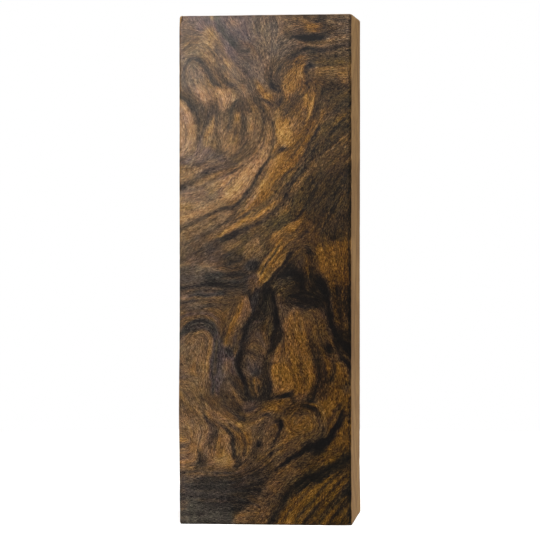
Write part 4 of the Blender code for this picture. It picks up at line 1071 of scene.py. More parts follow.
    spot(UMBER, 0.7, 0.7, (32.4, 17.8), 1.6, 0.9)
    spot(GOLD, 0.9, 0.6, (39.2, 20.6), 1.2, 1.6)
    vein(BROWN, 0.3, 0.5, 0.5, (38.4, 24.4), (39.4, 22), (39.2, 20))
    vein(INK, (0.5, 0.6, 0.6, 0.5, 0.6, 0.75, 0.6, 0.5, 0.45, 0.35, 0.3, 0.15), 0.3, 1, (41, 29.2),
         (40, 28), (38.9, 26.6), (38, 25), (37.3, 23.5), (36.7, 22.2), (36, 21), (35, 20), (33.6, 19.6),
         (32.2, 19.4), (31, 19), (30, 18.3), (29, 17.5), (28, 16.9), (27, 16.2), (26, 15.3), (25, 14.6),
         (24, 13.8), (23, 13.1), (21.8, 12.7), wash=0.35)
    spot(DUSK, 0.4, 0.8, (32.6, 19.2), 1.1, 0.6)
    vein(SOOT, (0.3, 0.3, 0.6, 0.4), 0.5, 0.85, (5.6, 17.6), (5.2, 16.2), (5.5, 15), (5.2, 14),
         (4.4, 13.2))
    spot(UMBER, 0.4, 0.8, (7.9, 13.2), 0.6, 0.4)
    spot(TAUPE, 0.6, 0.5, (2, 12.4), 0.8, 0.6)
    patch(CHAR, 0.6, 1, (-1, 10.4), (4, 10.4), (8, 11), (12, 11.4), (16, 12.4), (20.4, 14), (22, 12.4),
          (20.8, 10.4), (19.6, 8), (18.4, 6), (16.8, 4.8), (14.6, 3), (13, 1.4), (12.4, -2), (-1, -2))
    patch(SLATE, 1, 0.8, (-1, 5.6), (6, 5), (11, 5.4), (12.6, 3), (11.6, -2), (-1, -2))
    patch(MAUVE, 0.8, 0.35, (0, 9), (4, 8.6), (9, 8), (10, 6.4), (6, 5.6), (1, 6.4))
    patch(BROWN, 0.6, 0.8, (15, 12.4), (20, 14.8), (21.6, 14.6), (22, 12.8), (19, 12), (16, 11))
    spot(MAUVE, 0.8, 0.5, (19.8, 13.4), 1.4, 1.4)
    vein(INK, (0.2, 0.4, 0.5, 0.4, 0.2), 0.35, 0.85, (3, 10.3), (5, 10.8), (7, 11), (9, 11.2), (11, 11),
         (13.4, 11.6))
    vein(PEACH, 0.2, 0.35, 0.7, (5, 11.5), (7.6, 12.2), (10.4, 12.6), (13, 12.4), (15.4, 13))
    spot(INK, 0.6, 0.85, (13.4, 8.8), 1.2, 0.8)
    spot(INK, 0.6, 0.85, (18.8, 9), 0.9, 0.9)
    spot(INK, 0.6, 0.7, (16.2, 7.6), 1.2, 0.6)
    spot(INK, 0.5, 0.7, (17, 10.2), 1.3, 0.5)
    spot(SOOT, 0.7, 0.8, (14.4, 5.2), 1, 0.9)
    spot(UMBER, 0.4, 0.8, (8.5, 5.9), 0.7, 0.4)
    spot(BROWN, 0.4, 0.8, (8.4, 7.2), 0.7, 0.3)
    spot(RUST, 0.6, 0.6, (17.4, 6.2), 0.7, 0.6)
    vein(SOOT, 0.2, 0.4, 0.5, (1, 8.6), (4, 8.3), (8, 8.5), (12, 8.9))
    vein(SOOT, 0.15, 0.3, 0.6, (4, 4.5), (7, 4.3), (10, 4.4))
    patch(TAN, 0.7, 1, (12.4, -2), (13, 1.2), (14.6, 2.6), (16, 4.2), (18, 4.8), (19.8, 4.6),
          (20.8, 2.6), (21.2, -2))
    spot(PEACH, 0.8, 0.7, (15, 1.7), 1.2, 0.9)
    patch(TAN, 0.7, 1, (18.6, 5), (20, 8.4), (21, 10.8), (22.6, 12.4), (26, 12.6), (29, 11.6),
          (26.6, 9.4), (24.6, 7), (23, 4.6), (21.6, 3))
    spot(PEACH, 0.9, 0.8, (22.4, 10.2), 1.5, 1.3)
    spot(GOLD, 0.8, 0.7, (22.6, 8.2), 1.1, 1)
    spot(PALE, 0.4, 0.6, (23.9, 10.3), 0.6, 0.4)
    spot(UMBER, 0.6, 0.5, (21, 6.8), 0.9, 0.5, turn=40)
    patch(AMBER, 0.7, 1, (23, -2), (24.2, 2.6), (25.6, 5.4), (27, 7.4), (30, 9.4), (33, 11), (37, 12.8),
          (42, 15.4), (42, -2))
    patch(GOLD, 0.9, 0.6, (24.6, 1), (26.6, 4.4), (29.4, 7.6), (32, 9.2), (31, 5.6), (28, 2), (26, -1))
    patch(BROWN, 1.4, 0.7, (42, 12), (39, 10), (37, 5), (36, -2), (42, -2))
    vein(UMBER, 0.5, 0.8, 0.55, (30.4, -0.5), (32.4, 2.4), (34.6, 5), (36.6, 7.6), (38.4, 10))
    vein(UMBER, 0.4, 0.7, 0.6, (35, -0.5), (36.6, 2), (38.6, 4.6), (41, 6.8))
    vein(GOLD, 0.4, 0.7, 0.5, (31, 6.4), (33.4, 8.6), (36, 10.6), (39, 12.6))
    spot(RUST, 0.7, 0.5, (34.4, 3.4), 1, 0.8)
    spot(CHAR, 0.4, 0.8, (39.6, 7.8), 0.9, 0.7)
    vein(GOLD, 0.12, 0.25, 0.6, (38.6, 7.6), (39.2, 8.8), (40.3, 8.6))
    spot(PALE, 0.4, 0.5, (33.2, 1.7), 0.6, 0.4)
    vein(UMBER, (0.9, 1, 0.9, 1.1, 1.1, 1.2, 0.9, 0.8), 0.6, 1, (21.3, -0.5), (22, 1.4), (23, 3),
         (24.2, 4.9), (25.2, 6.6), (26.2, 7.9), (27.8, 9.2), (29.8, 10.4), (31.8, 11.7), (33.8, 12.7),
         (35.8, 13.4), (37.6, 14.2), (39.2, 15.4), (41.4, 17.4))
    vein(SOOT, (0.6, 0.5, 0.35, 0.35, 0.6, 0.45, 0.7, 0.6, 0.35, 0.3), 0.9, 0.55, (21.6, -0.5),
         (22.2, 1.5), (23.3, 3.2), (24.4, 4.8), (25, 6.2), (25.7, 7.5), (27, 8.7), (28.8, 9.6),
         (30.6, 10.9), (32.6, 12), (34.6, 12.6), (36.6, 13.4), (38.8, 14.8), (41.2, 17))
    spot(BROWN, 0.5, 0.6, (27, 8.2), 0.8, 0.5)
    for x, z, across, up, turn in (
        (22.2, 1.4, 0.9, 1.3, -20),
        (24.9, 6.6, 0.8, 0.9, 40),
        (28.4, 9.4, 0.8, 0.5, 35),
        (31.4, 11.4, 1.5, 0.5, 20),
        (33.4, 10.8, 0.9, 0.5, -10),
        (35.6, 13, 0.7, 0.4, 20),
    ):
        spot(INK, 0.5, 0.7, (x, z), across, up, turn=turn)
    patch(SOOT, 0.7, 0.75, (30, 18.8), (33, 19.8), (35.6, 19.6), (34.6, 17.8), (32.4, 17), (30.6, 17.2))
    spot(OLIVE, 0.6, 0.6, (33.4, 16.6), 1.6, 0.6, turn=20)
    for start, tone, weight in (
        (26.5, UMBER, 0.4),
        (28.2, GOLD, 0.6),
        (29.4, OLIVE, 0.6),
        (30.8, PALE, 0.5),
        (31.8, UMBER, 0.7),
        (33.2, GOLD, 0.6),
        (34.2, BROWN, 0.7),
        (35.4, OLIVE, 0.7),
        (36.4, AMBER, 0.7),
        (37.6, UMBER, 0.7),
        (39.2, GOLD, 0.5),
    ):
        vein(tone, (0.2, 0.4, 0.25, 0.35, 0.15), 0.3, weight, (start - 3.4, -2), (start - 1.4, 1.4),
             (start, 3.2), (start + 1.8, 5.2), (start + 3.4, 7.2), (start + 5.6, 9.8), (start + 8, 12))
    spot(CHAR, 0.5, 0.8, (39.8, 8), 1, 0.8)
    spot(UMBER, 0.4, 0.8, (32.4, 4.2), 0.8, 0.5, turn=45)
    for lift, tone, weight in (
        (0.0, INK, 0.8),
        (0.8, MAUVE, 0.6),
        (-0.8, CHAR, 0.7),
        (-1.5, SLATE, 0.7),
        (-2.3, INK, 0.5),
        (-3.2, MAUVE, 0.5),
        (-4.1, SOOT, 0.6),
        (-5.0, TAUPE, 0.3),
    ):
        spread = 1 + 0.12 * lift
        vein(tone, (0.35, 0.25, 0.35, 0.15), 0.3, weight, (-0.5, 9.8 + lift), (4, 10.4 + lift),
             (8, 10.9 + lift), (12, 11.2 + lift), (16, 12.4 + lift * spread), (19, 13.8 + lift * spread))
    for shift, tone in ((0.0, UMBER), (0.9, TAN), (1.7, CHAR), (2.6, BROWN), (3.3, TAN)):
        vein(tone, 0.18, 0.25, 0.7, (14.6 + shift, 11.2), (17.2 + shift, 12.6), (19.6 + shift, 14.2),
             (21.4 + shift, 16.2))
    patch(SLATE, 0.8, 0.6, (-1, 4.8), (4, 5.2), (9, 5), (12.4, 4.4), (12.6, 1.4), (12, -2), (-1, -2))
    vein(SOOT, (0.2, 0.3, 0.2), 0.3, 0.7, (-0.5, 5.2), (3, 5.6), (7, 5.3), (11, 5.4), (14.4, 6))
    vein(MAUVE, 0.3, 0.35, 0.6, (2, 7), (5, 6.7), (8, 7.2), (10, 7))
    patch(TAN, 1, 0.5, (1, 24.6), (5.6, 24.4), (7, 22), (6, 19.6), (3.6, 18.4), (1, 19))
    vein(CHAR, (0.2, 0.3, 0.35), 0.2, 1, (7.6, 25.2), (8.6, 23.6), (8.9, 22.2), (8.5, 20.8),
         (7.4, 19.6), (6.4, 18.9))
    vein(RUST, 0.25, 0.25, 0.7, (7, 19.6), (7.8, 19.9), (8.8, 19.2))
    vein(CHAR, (0.3, 0.5, 0.3), 0.4, 0.7, (4.8, 17.6), (5.2, 16.4), (5.4, 15.2), (4.9, 14), (4.2, 13))
    vein(INK, (0.3, 0.4, 0.35, 0.15), 0.22, 1, (22.8, 24.6), (23.9, 24.5), (24.2, 23.4), (23.9, 22.2),
         (23.2, 20.9))
    spot(INK, 0.3, 0.8, (18.8, 19), 0.7, 0.6)
    vein(BROWN, 0.18, 0.2, 0.8, (14.6, 21.4), (15.4, 20), (15.5, 18.2), (15, 16.6))
    vein(PALE, 0.15, 0.2, 0.8, (24.6, 16.9), (26.4, 17.6), (28.2, 18.6), (29.6, 19.8))
    vein(BROWN, 0.14, 0.2, 0.6, (25, 18.4), (27, 19.2), (28.8, 20.6), (30.4, 21.2))
    grain((25, 1), (28, 5), (32, 9), (37, 12))
    grain((32, 0), (35, 4), (40, 9))
    grain((0, 3), (5, 3.4), (10, 3))


def shade_upper_half(figure):
    """Broad soft shades and a few lines laid over the figure, from the top end down to z 60."""
    patch, vein = figure.patch, figure.vein
    patch(TAUPE, 1.2, 0.7, (0, 109), (3, 109.4), (5.4, 107.6), (5.6, 104), (3, 102), (1, 102.6))
    patch(BROWN, 0.9, 0.55, (5, 99.6), (7.4, 100), (9, 98.4), (8, 95.6), (5.6, 95.4))
    patch(PEACH, 0.8, 0.5, (4, 103.4), (6, 104), (8.6, 101.4), (9, 99), (7, 99), (5, 100.6))
    vein(TAN, 0.5, 0.7, 0.55, (5.8, 95.6), (6.4, 93), (6, 90.4), (5, 87.6), (3.4, 85.4))
    patch(TAUPE, 1.1, 0.65, (12.6, 107.6), (15, 110.4), (18.4, 108), (18.2, 103), (16.4, 99),
          (14.6, 101.4), (12.8, 104))
    vein(WALNUT, (0.9, 1, 0.8, 0.5), 0.9, 0.7, (18.4, 98.6), (19, 95.6), (18.7, 92), (17.4, 89),
         (15, 86.8), (12, 85.4), (8, 84.6), (4, 83.6))
    vein(MAUVE, (0.3, 0.7, 0.4), 0.8, 0.6, (4, 82.6), (7, 83.6), (10, 84), (13, 85.2))
    vein(CHAR, 0.3, 0.6, 0.7, (5.6, 82.8), (7.4, 83.4), (9.2, 83.6))
    vein(BROWN, 0.2, 0.35, 0.7, (15.4, 86.2), (17.8, 88.4), (19.4, 91.6), (19.8, 95))
    patch(PEACH, 0.9, 0.5, (0, 86.4), (2.6, 86.2), (4.2, 88.6), (4, 91), (2, 89.4), (0, 88.4))
    patch(RUST, 0.8, 0.5, (24.6, 108.4), (28.4, 110.2), (30, 108), (29.8, 103), (28.4, 101),
          (28.2, 105), (25, 107))
    patch(BROWN, 0.8, 0.6, (22.4, 99.4), (25.4, 100.6), (28.4, 99.6), (27.4, 97.2), (24.4, 97))
    patch(RUST, 0.8, 0.6, (26.6, 98), (30, 99.6), (31.2, 96), (29.6, 91.6), (27.4, 87), (25.6, 89),
          (27.2, 93.4))
    vein(GOLD, (0.4, 0.9, 0.3), 0.6, 0.7, (30.4, 102), (30.8, 99.8), (30, 97.6))
    vein(GOLD, (0.4, 0.9, 0.5), 0.6, 0.6, (25, 96.6), (25, 94), (24.4, 91.4))
    vein(BROWN, 0.5, 0.6, 0.6, (31.6, 103.6), (32.4, 101), (32.8, 98), (32.2, 95.4))
    patch(CHAR, 0.7, 0.75, (33, 104.6), (36, 105), (39.4, 104), (38.4, 101.6), (35, 100.8),
          (33.2, 102.4))
    patch(BROWN, 1, 0.55, (34, 101), (42, 102), (42, 96), (37, 94.6), (34, 97.6))
    patch(OLIVE, 0.8, 0.65, (35, 94.6), (42, 96.4), (42, 91.4), (38, 90.8), (35.4, 92))
    patch(OLIVE, 0.5, 0.7, (31.4, 110.8), (36, 110.8), (42, 110.4), (42, 108.2), (36, 108), (32, 108.4))
    vein(INK, (0.2, 0.6, 0.8, 0.2), 0.4, 1, (27.4, 114.8), (29.4, 114.6), (31.4, 114.4), (33.4, 114.7),
         (35, 115.7))
    patch(UMBER, 0.6, 0.75, (33.4, 118.6), (36, 118), (36.6, 115.8), (34.6, 114.8), (33.4, 116))
    vein(UMBER, 0.25, 0.4, 0.7, (30.4, 97), (29.4, 93), (28.4, 89.6), (26.8, 86.6))
    patch(UMBER, 1.2, 0.45, (31, 90.6), (36, 92.4), (42, 92), (42, 72.6), (35, 72.6), (31, 75.4),
          (28.6, 79.4), (30.6, 84.6))
    for shift, tone, weight in (
        (0.0, OLIVE, 0.8),
        (1.0, CHAR, 0.7),
        (2.1, OLIVE, 0.7),
        (3.3, UMBER, 0.7),
        (4.2, TAN, 0.4),
        (5.4, CHAR, 0.6),
        (6.8, OLIVE, 0.6),
        (8.2, CHAR, 0.5),
    ):
        vein(tone, (0.2, 0.3, 0.15), 0.3, weight, (27.6 + shift, 78 - 0.5 * shift),
             (29.6 + shift, 81.6 - 0.5 * shift), (32 + shift, 84.8 - 0.5 * shift),
             (35 + shift, 87.6 - 0.5 * shift), (39 + shift, 90.6 - 0.5 * shift))
    patch(UMBER, 0.9, 0.7, (26.4, 73.6), (32, 74), (34, 69), (32.4, 65.6), (30.4, 66.4), (28, 68.4),
          (27.4, 71))
    vein(AMBER, (0.4, 0.8, 0.4), 0.6, 0.5, (22.4, 66), (24.4, 68.2), (26.6, 69.8), (28.6, 71.4))
    patch(TAUPE, 1, 0.6, (3, 67), (8, 67.6), (11, 65.4), (10, 62.4), (6, 61.6), (2.6, 63))
    patch(MAUVE, 0.6, 0.6, (16.6, 58.6), (18.4, 59), (19, 57.4), (18.6, 55.6), (17.4, 55.4))
    patch(BROWN, 0.5, 0.6, (19.4, 60.6), (20.8, 61.6), (21.8, 60.4), (20.4, 58.6))
    patch(UMBER, 1, 0.6, (36, 73), (42, 73), (42, 68), (38.6, 67.4), (35.4, 69.6))
    vein(BROWN, 0.6, 0.8, 0.55, (34.6, 66.6), (35.6, 63), (35.4, 60))
    patch(BROWN, 0.9, 0.6, (24.4, 108.6), (27, 110.4), (29.6, 109), (30, 105), (28.8, 101.6),
          (26.4, 101), (24.2, 103), (24.6, 106))
    vein(AMBER, (0.3, 0.8, 0.4), 0.6, 0.6, (25.4, 104.8), (26.6, 106), (27.4, 108))
    vein(INK, (0.1, 0.35, 0.2), 0.3, 0.6, (28.2, 107.6), (28.9, 105.8), (29.2, 103.6), (28.2, 101.6))
    patch(UMBER, 0.8, 0.55, (30, 105.6), (32.4, 106.4), (33.4, 104), (32.6, 101), (31, 100.6))
    patch(CHAR, 1.6, 0.55, (30.6, 82.4), (35, 84), (42, 84), (42, 72.4), (35.6, 72.6), (32.4, 74.4),
          (30.4, 78))
    patch(UMBER, 1.1, 0.55, (24.6, 68.4), (27.4, 69), (31.4, 67), (31.8, 63.4), (28.6, 62.6),
          (25.4, 64.6))
    patch(UMBER, 1.3, 0.5, (34.4, 68), (42, 69), (42, 62), (37.6, 61.6), (34.8, 63.6))
    patch(UMBER, 1.2, 0.35, (3, 66.6), (7, 68), (10.4, 66.4), (10.8, 63.4), (7, 62), (3.4, 63))
    patch(OLIVE, 1, 0.6, (34.6, 101.4), (42, 102), (42, 98), (37, 97.6))
    patch(UMBER, 0.8, 0.5, (21.8, 99), (25, 99.8), (27.6, 98), (26.8, 95.6), (24.6, 95), (22.4, 96.6))
    patch(WALNUT, 1, 0.55, (26.6, 96), (30.4, 97.6), (30.6, 93), (28.4, 89.6), (26.6, 91))
    patch(TAN, 0.9, 0.45, (16.4, 97), (18.8, 98), (19.8, 94), (18.6, 90), (16.6, 89.4), (17.4, 93))
    patch(TAN, 0.8, 0.6, (-1, 84.4), (3, 84.8), (5.4, 83.6), (3, 81.8), (-1, 80.8))
    vein(UMBER, 0.3, 0.5, 0.6, (7, 81), (9.6, 82.2), (12.4, 83.2), (15.6, 84.6), (18, 86.8))
    vein(PEACH, 0.4, 0.6, 0.5, (0.8, 98.8), (2.4, 97), (3.2, 94.6))
    patch(CHAR, 0.6, 0.65, (2.4, 101.5), (4.2, 100), (6, 98.6), (8.6, 99.4), (9.2, 98), (7.6, 96.4),
          (6.4, 93.6), (5.4, 94.6), (4.4, 97), (3, 99.4))
    vein(TAN, 0.35, 0.5, 0.6, (3.4, 96.4), (3.9, 92.6), (3.6, 88.6))
    patch(TAN, 0.6, 0.75, (21, 98.6), (22.6, 98.8), (24.2, 97), (23.4, 95), (22, 95.4))
    patch(AMBER, 0.8, 0.55, (25, 104.6), (27.6, 107.8), (29.6, 106.4), (28.6, 104), (26.4, 102.4))
    patch(UMBER, 0.7, 0.55, (33.6, 105.8), (40.4, 105.8), (40.4, 103), (36, 102.6), (33.6, 103))
    patch(BROWN, 0.7, 0.55, (30.6, 104.6), (32.8, 104.8), (33.4, 101.6), (32.4, 99.4), (31.2, 101))
    patch(BROWN, 0.7, 0.4, (33.4, 108), (40, 108.2), (40, 105.6), (34, 105.8))
    patch(TAUPE, 0.8, 0.5, (3, 85), (6, 87.8), (10, 87.6), (11, 86), (7, 84.8))
    patch(TAN, 0.8, 0.5, (-1, 83.6), (3, 83.8), (6.4, 82.6), (3, 80.8), (-1, 79.8))
    vein(CHAR, 0.4, 0.4, 0.7, (26.2, 76.8), (27.6, 79.6), (28.8, 82.2), (30.4, 84.6))
    vein(TAN, (0.4, 0.3, 0.2), 0.25, 0.75, (28, 78.6), (29.6, 81.6), (32, 84.8), (35.6, 88.2),
         (39, 91.2), (41, 93))
    vein(CHAR, (0.2, 0.35, 0.3), 0.3, 0.7, (24.6, 78), (26.6, 81.6), (29.6, 85.6), (33.4, 89.6),
         (37.4, 92.6), (41, 95.4))
    patch(OLIVE, 0.7, 0.45, (30.4, 88.6), (34, 92.6), (38, 94), (37, 91.6), (33, 88), (30.6, 85.8))
    vein(BROWN, 0.7, 0.8, 0.5, (28.6, 86.6), (30.4, 90), (32, 93.4), (33.2, 96.4))
    vein(TAN, 0.6, 0.7, 0.6, (-1, 70.8), (3, 72), (7.4, 74))
    patch(UMBER, 1.4, 0.35, (-1, 70.4), (5, 69.4), (9.6, 68.4), (18, 66.4), (19.4, 62.4), (14, 60.6),
          (8, 60.8), (-1, 61))
    vein(BROWN, 0.6, 0.6, 0.6, (20.2, 62.6), (21.6, 64.8), (22.6, 67))
    patch(UMBER, 0.8, 0.5, (16.6, 65.2), (18.8, 66.4), (19.6, 64.4), (18.2, 62.2), (16.6, 63))
    patch(RUST, 1, 0.5, (35.8, 66.4), (40.4, 66), (40.4, 57.6), (37, 57.4), (35.4, 61))
    patch(TAUPE, 1, 0.5, (1, 117), (4.4, 116.4), (6.4, 112.6), (4, 110.4), (1.4, 111))
    patch(TAUPE, 0.8, 0.5, (8.6, 113.4), (10, 113.6), (11, 110.4), (9.6, 108.8))
    for shift, tone, weight in ((0, CHAR, 0.7), (1.0, UMBER, 0.5), (3.1, CHAR, 0.6), (4.4, UMBER, 0.5)):
        vein(tone, (0.15, 0.3, 0.2), 0.25, weight, (24.4, 109.6 + shift), (26.2, 111 + shift),
             (29.8, 112.2 + shift), (34.5, 112.3 + shift), (40.4, 112.6 + shift))
    vein(CHAR, 0.2, 0.25, 0.6, (28.4, 109.4), (30.7, 110), (34.5, 110.6), (40, 110.1))
    patch(TAUPE, 1, 0.4, (-1, 118.6), (3, 118.4), (4.4, 114.6), (3.4, 110), (-1, 109.6))
    patch(UMBER, 0.6, 0.6, (0.8, 102.8), (2.8, 102.6), (4.8, 100.6), (4.4, 99), (2.6, 99.8), (0.8, 101))
    patch(BROWN, 0.7, 0.4, (6, 99.4), (9, 100), (9.6, 97.6), (7.6, 96.8))
    patch(BROWN, 0.8, 0.5, (30.6, 104), (33, 105.8), (37.6, 106), (38.4, 103.6), (34, 102.6),
          (33, 99.6), (31, 99.6))
    patch(BROWN, 0.8, 0.5, (25.8, 100.4), (28.6, 100.8), (29, 97.4), (26.4, 96.8))
    patch(BROWN, 0.9, 0.35, (17, 87.4), (18.8, 91), (20.4, 95.4), (22.6, 95.6), (21, 91.6),
          (19.6, 87.6))
    vein(RUST, 0.8, 0.8, 0.5, (25, 86.2), (28, 89.4), (30, 92.4), (31.6, 95.2))
    vein(GOLD, 0.45, 0.5, 0.55, (20, 79.4), (21.8, 82.4), (24, 85.8))
    vein(PEACH, 0.6, 0.6, 0.5, (-1, 71.8), (3, 73), (7.4, 74.7))
    vein(UMBER, 0.5, 0.6, 0.5, (6.4, 67.8), (11, 70), (15.4, 72.6))
    patch(TAN, 0.8, 0.5, (16, 66.4), (18.6, 66.8), (20, 64.4), (18, 62.8), (16, 63.6))
    patch(UMBER, 0.8, 0.4, (11.4, 63.4), (15, 63.4), (15.4, 60.6), (11.8, 60.4))
    patch(RUST, 0.8, 0.55, (35.4, 60.6), (38.4, 60.8), (38.6, 57), (35.8, 57))


def shade_lower_half(figure):
    """The same from z 60 down to the bottom end."""
    patch, vein, spot = figure.patch, figure.vein, figure.spot
    patch(SLATE, 0.7, 0.5, (-1, 58), (3, 58.6), (8, 59.4), (9, 57.6), (4, 56.4), (-1, 55.4))
    patch(BROWN, 0.7, 0.5, (11, 54.6), (15, 54.8), (14.6, 52.4), (11.4, 52))
    patch(UMBER, 0.9, 0.55, (23, 56.4), (29.4, 56), (31, 53), (27.4, 51.6), (24, 52.6))
    patch(UMBER, 0.9, 0.6, (36.2, 58.4), (42, 60), (42, 46), (39, 45.4), (36.6, 48))
    patch(RUST, 0.9, 0.5, (37.6, 60.4), (42, 60), (42, 57), (38.4, 57))
    patch(WALNUT, 0.8, 0.7, (31.4, 50.4), (34.8, 50), (35.4, 46), (34.6, 43), (32.4, 42.6), (31.6, 46))
    vein(PEACH, (0.3, 0.6, 0.3), 0.4, 0.8, (15.8, 53.6), (16.7, 52), (16.8, 50.2), (16.2, 48.4))
    patch(BROWN, 0.7, 0.5, (10.6, 47.6), (13, 48), (13.6, 45.4), (12.4, 43), (10.6, 43.6))
    vein(INK, (0.4, 0.7, 0.8, 0.6, 0.45), 0.45, 0.85, (17, 49.2), (16.3, 47.4), (15.9, 45.4),
         (15.7, 43.4), (15.4, 41.4), (14.8, 39.4), (14.4, 37.6), (14.9, 36), (15.8, 34.4))
    vein(MAUVE, 0.4, 0.6, 0.5, (13.6, 46.4), (13.4, 44.4), (13, 42.4))
    vein(BROWN, 0.4, 0.6, 0.55, (32.6, 37), (32.4, 34.6), (31.8, 32.4), (31, 30.4))
    vein(BROWN, 0.5, 0.6, 0.7, (26.4, 26.4), (27.6, 27.4), (29.2, 27.9))
    patch(BROWN, 0.8, 0.6, (32, 34), (34.6, 35), (36, 33), (35, 30.6), (32.4, 30.4))
    patch(AMBER, 0.7, 0.6, (37, 35.6), (39, 36), (40, 34), (38.4, 32.4), (37, 33.4))
    patch(GOLD, 0.5, 0.8, (38, 30.4), (42, 31), (42, 29.2), (40.4, 28.2), (38.4, 27.4))
    vein(INK, 0.45, 0.4, 0.7, (41.4, 28), (40, 26.6), (38.6, 25), (37.4, 23.2))
    vein(PEACH, (0.3, 0.55, 0.4), 0.45, 0.75, (6.6, 27.2), (8, 26.2), (9.8, 25.2), (11.6, 24.2),
         (13.4, 23.4))
    patch(TAN, 0.7, 0.7, (2.6, 19.6), (5.4, 19.8), (6.4, 18.4), (4.6, 17.4), (2.6, 17.8))
    spot(CHAR, 0.6, 0.7, (5.8, 15.2), 0.8, 1.5)
    spot(BROWN, 0.8, 0.3, (9, 14), 1.6, 0.9)
    patch(ASH, 1.2, 0.6, (-1, 11.2), (2.6, 10.4), (4.6, 7), (5, 3), (4, -2), (-1, -2))
    patch(ASH, 0.9, 0.4, (4, 5), (9, 4.6), (12.4, 3.4), (12.4, -2), (4, -2))
    patch(CHAR, 0.8, 0.6, (17, 12), (20, 12.6), (21, 10.6), (20, 7.4), (18, 6), (16.4, 8.6))
    patch(UMBER, 0.7, 0.5, (20.4, 6.6), (22.6, 8.2), (24, 6.6), (22.4, 3.4), (20.8, 3.6))
    patch(CHAR, 1.5, 0.55, (24.6, 59.6), (28.6, 60.6), (32.6, 57.8), (35.4, 53.4), (34.8, 50.8),
          (31, 51.6), (27, 53.6), (24.4, 56.6))
    patch(SLATE, 0.8, 0.5, (-1, 60.4), (4, 60.8), (10, 60), (10, 58), (4, 57.6), (-1, 57.4))
    patch(UMBER, 0.8, 0.4, (-1, 52.6), (4, 52.2), (7, 50.6), (4, 49.6), (-1, 50))
    patch(WALNUT, 0.9, 0.65, (29.8, 50.4), (33.8, 50), (34.6, 45), (33.6, 40.4), (31.4, 40.8),
          (30.6, 45))
    patch(BROWN, 0.6, 0.6, (13.4, 47.4), (15, 50), (16.4, 52.6), (16.8, 49.6), (15.4, 46.4),
          (14.6, 43.6))
    vein(UMBER, 0.6, 0.8, 0.5, (30, 33.6), (31.6, 32), (31.6, 30), (30, 28.6))
    vein(GOLD, (0.1, 0.2, 0.1), 0.15, 0.8, (26.6, 28.2), (28.6, 28.9), (30.8, 29), (32.8, 27.8),
         (34, 26), (34.3, 23.6))
    vein(PALE, (0.1, 0.2, 0.1), 0.15, 0.8, (6.4, 28.5), (7.1, 26.3), (9, 24.8), (11.8, 23.4),
         (13.7, 21.2))
    patch(WALNUT, 0.9, 0.5, (9, 31), (12, 30), (13.4, 26.6), (11.6, 25.4), (9, 27.6))
    patch(SLATE, 1, 0.4, (4, 10.6), (10, 10.8), (13, 9), (12, 6), (6, 5.6))
    patch(AMBER, 0.6, 0.7, (36.4, 29.4), (42, 30), (42, 27.6), (39.4, 26.6))
    patch(BROWN, 0.9, 0.45, (-1, 60), (4, 60.4), (7, 59.4), (5, 56), (-1, 54.8))
    patch(WALNUT, 0.7, 0.5, (-1, 52.8), (3.4, 52.8), (6, 51.2), (3.4, 49.8), (-1, 49.4))
    patch(PEACH, 0.4, 0.75, (13.8, 47.8), (15, 50.4), (15.8, 53.4), (16.8, 52.8), (16.6, 49.8),
          (15.2, 47))
    patch(OLIVE, 0.8, 0.6, (23.4, 57.4), (26.6, 57.8), (28, 55.4), (26, 53.6), (23.8, 54.4))
    patch(TAN, 0.8, 0.6, (30, 50.6), (34, 50.4), (34.8, 45.4), (34, 42.6), (31.6, 42.6), (30.2, 46))
    patch(BROWN, 0.8, 0.4, (30.6, 43.4), (34, 43), (34, 37), (31.4, 36.4))
    vein(BROWN, 0.7, 0.7, 0.55, (32.4, 39), (32.5, 35.4), (32, 32.6), (31, 30))
    patch(AMBER, 0.8, 0.5, (27.6, 35.6), (31.4, 35.4), (31.6, 32.4), (28.6, 31.6))
    patch(BROWN, 0.8, 0.5, (24.6, 28.8), (28.4, 29), (28.8, 26.4), (25.2, 25.8))
    vein(CHAR, 0.5, 0.5, 0.75, (23.2, 46.6), (21.9, 43.2), (20.9, 40.4), (20.4, 36.8), (20.6, 33),
         (21, 31))
    patch(BROWN, 0.6, 0.5, (18.6, 29.4), (23.6, 29.8), (24, 27.8), (19, 27.2))
    patch(UMBER, 0.7, 0.6, (15.6, 43.2), (19.6, 43), (19.8, 40.8), (16, 40.6))
    patch(TAUPE, 0.6, 0.6, (10, 39), (11.8, 39.2), (12.6, 37), (11.4, 35.4), (10, 36.4))
    patch(PEACH, 0.6, 0.7, (5.2, 20), (7, 19.4), (7.6, 17.4), (6.6, 16), (5.4, 17.6))
    spot(CHAR, 0.6, 0.6, (4.9, 15.7), 0.8, 1.4)
    vein(CHAR, 0.35, 0.4, 0.6, (8.8, 23.2), (7.5, 21), (7.4, 18.8))
    patch(UMBER, 0.9, 0.5, (16.6, 17.6), (19.8, 17.4), (20.6, 14.6), (18.4, 12.8), (16.4, 14.4))
    patch(UMBER, 0.9, 0.5, (20.4, 13.6), (23.2, 13.4), (23, 10.4), (20.6, 9.8))
    patch(ASH, 1.4, 0.5, (-1, 12), (2.4, 11.6), (4, 8), (4, -2), (-1, -2))
    patch(BROWN, 0.8, 0.4, (-1, 60), (4.6, 59.8), (4.6, 57), (-1, 56.6))
    patch(BROWN, 0.8, 0.4, (11.2, 55.2), (14.4, 55), (14.4, 52.2), (11.4, 52))
    patch(CHAR, 0.7, 0.5, (16.4, 47.4), (18.6, 47.4), (18.6, 44.4), (16.6, 44.4))
    patch(WALNUT, 0.7, 0.35, (16.4, 42.6), (19.2, 42.4), (19, 40), (16.6, 39.8))
    vein(CHAR, 0.55, 0.45, 0.75, (23.5, 46), (22.5, 42.4), (21.7, 40), (21.3, 37), (21.4, 33.4))
    patch(AMBER, 0.8, 0.5, (27.4, 35.6), (30.4, 35.6), (30.6, 32), (28, 31.6))
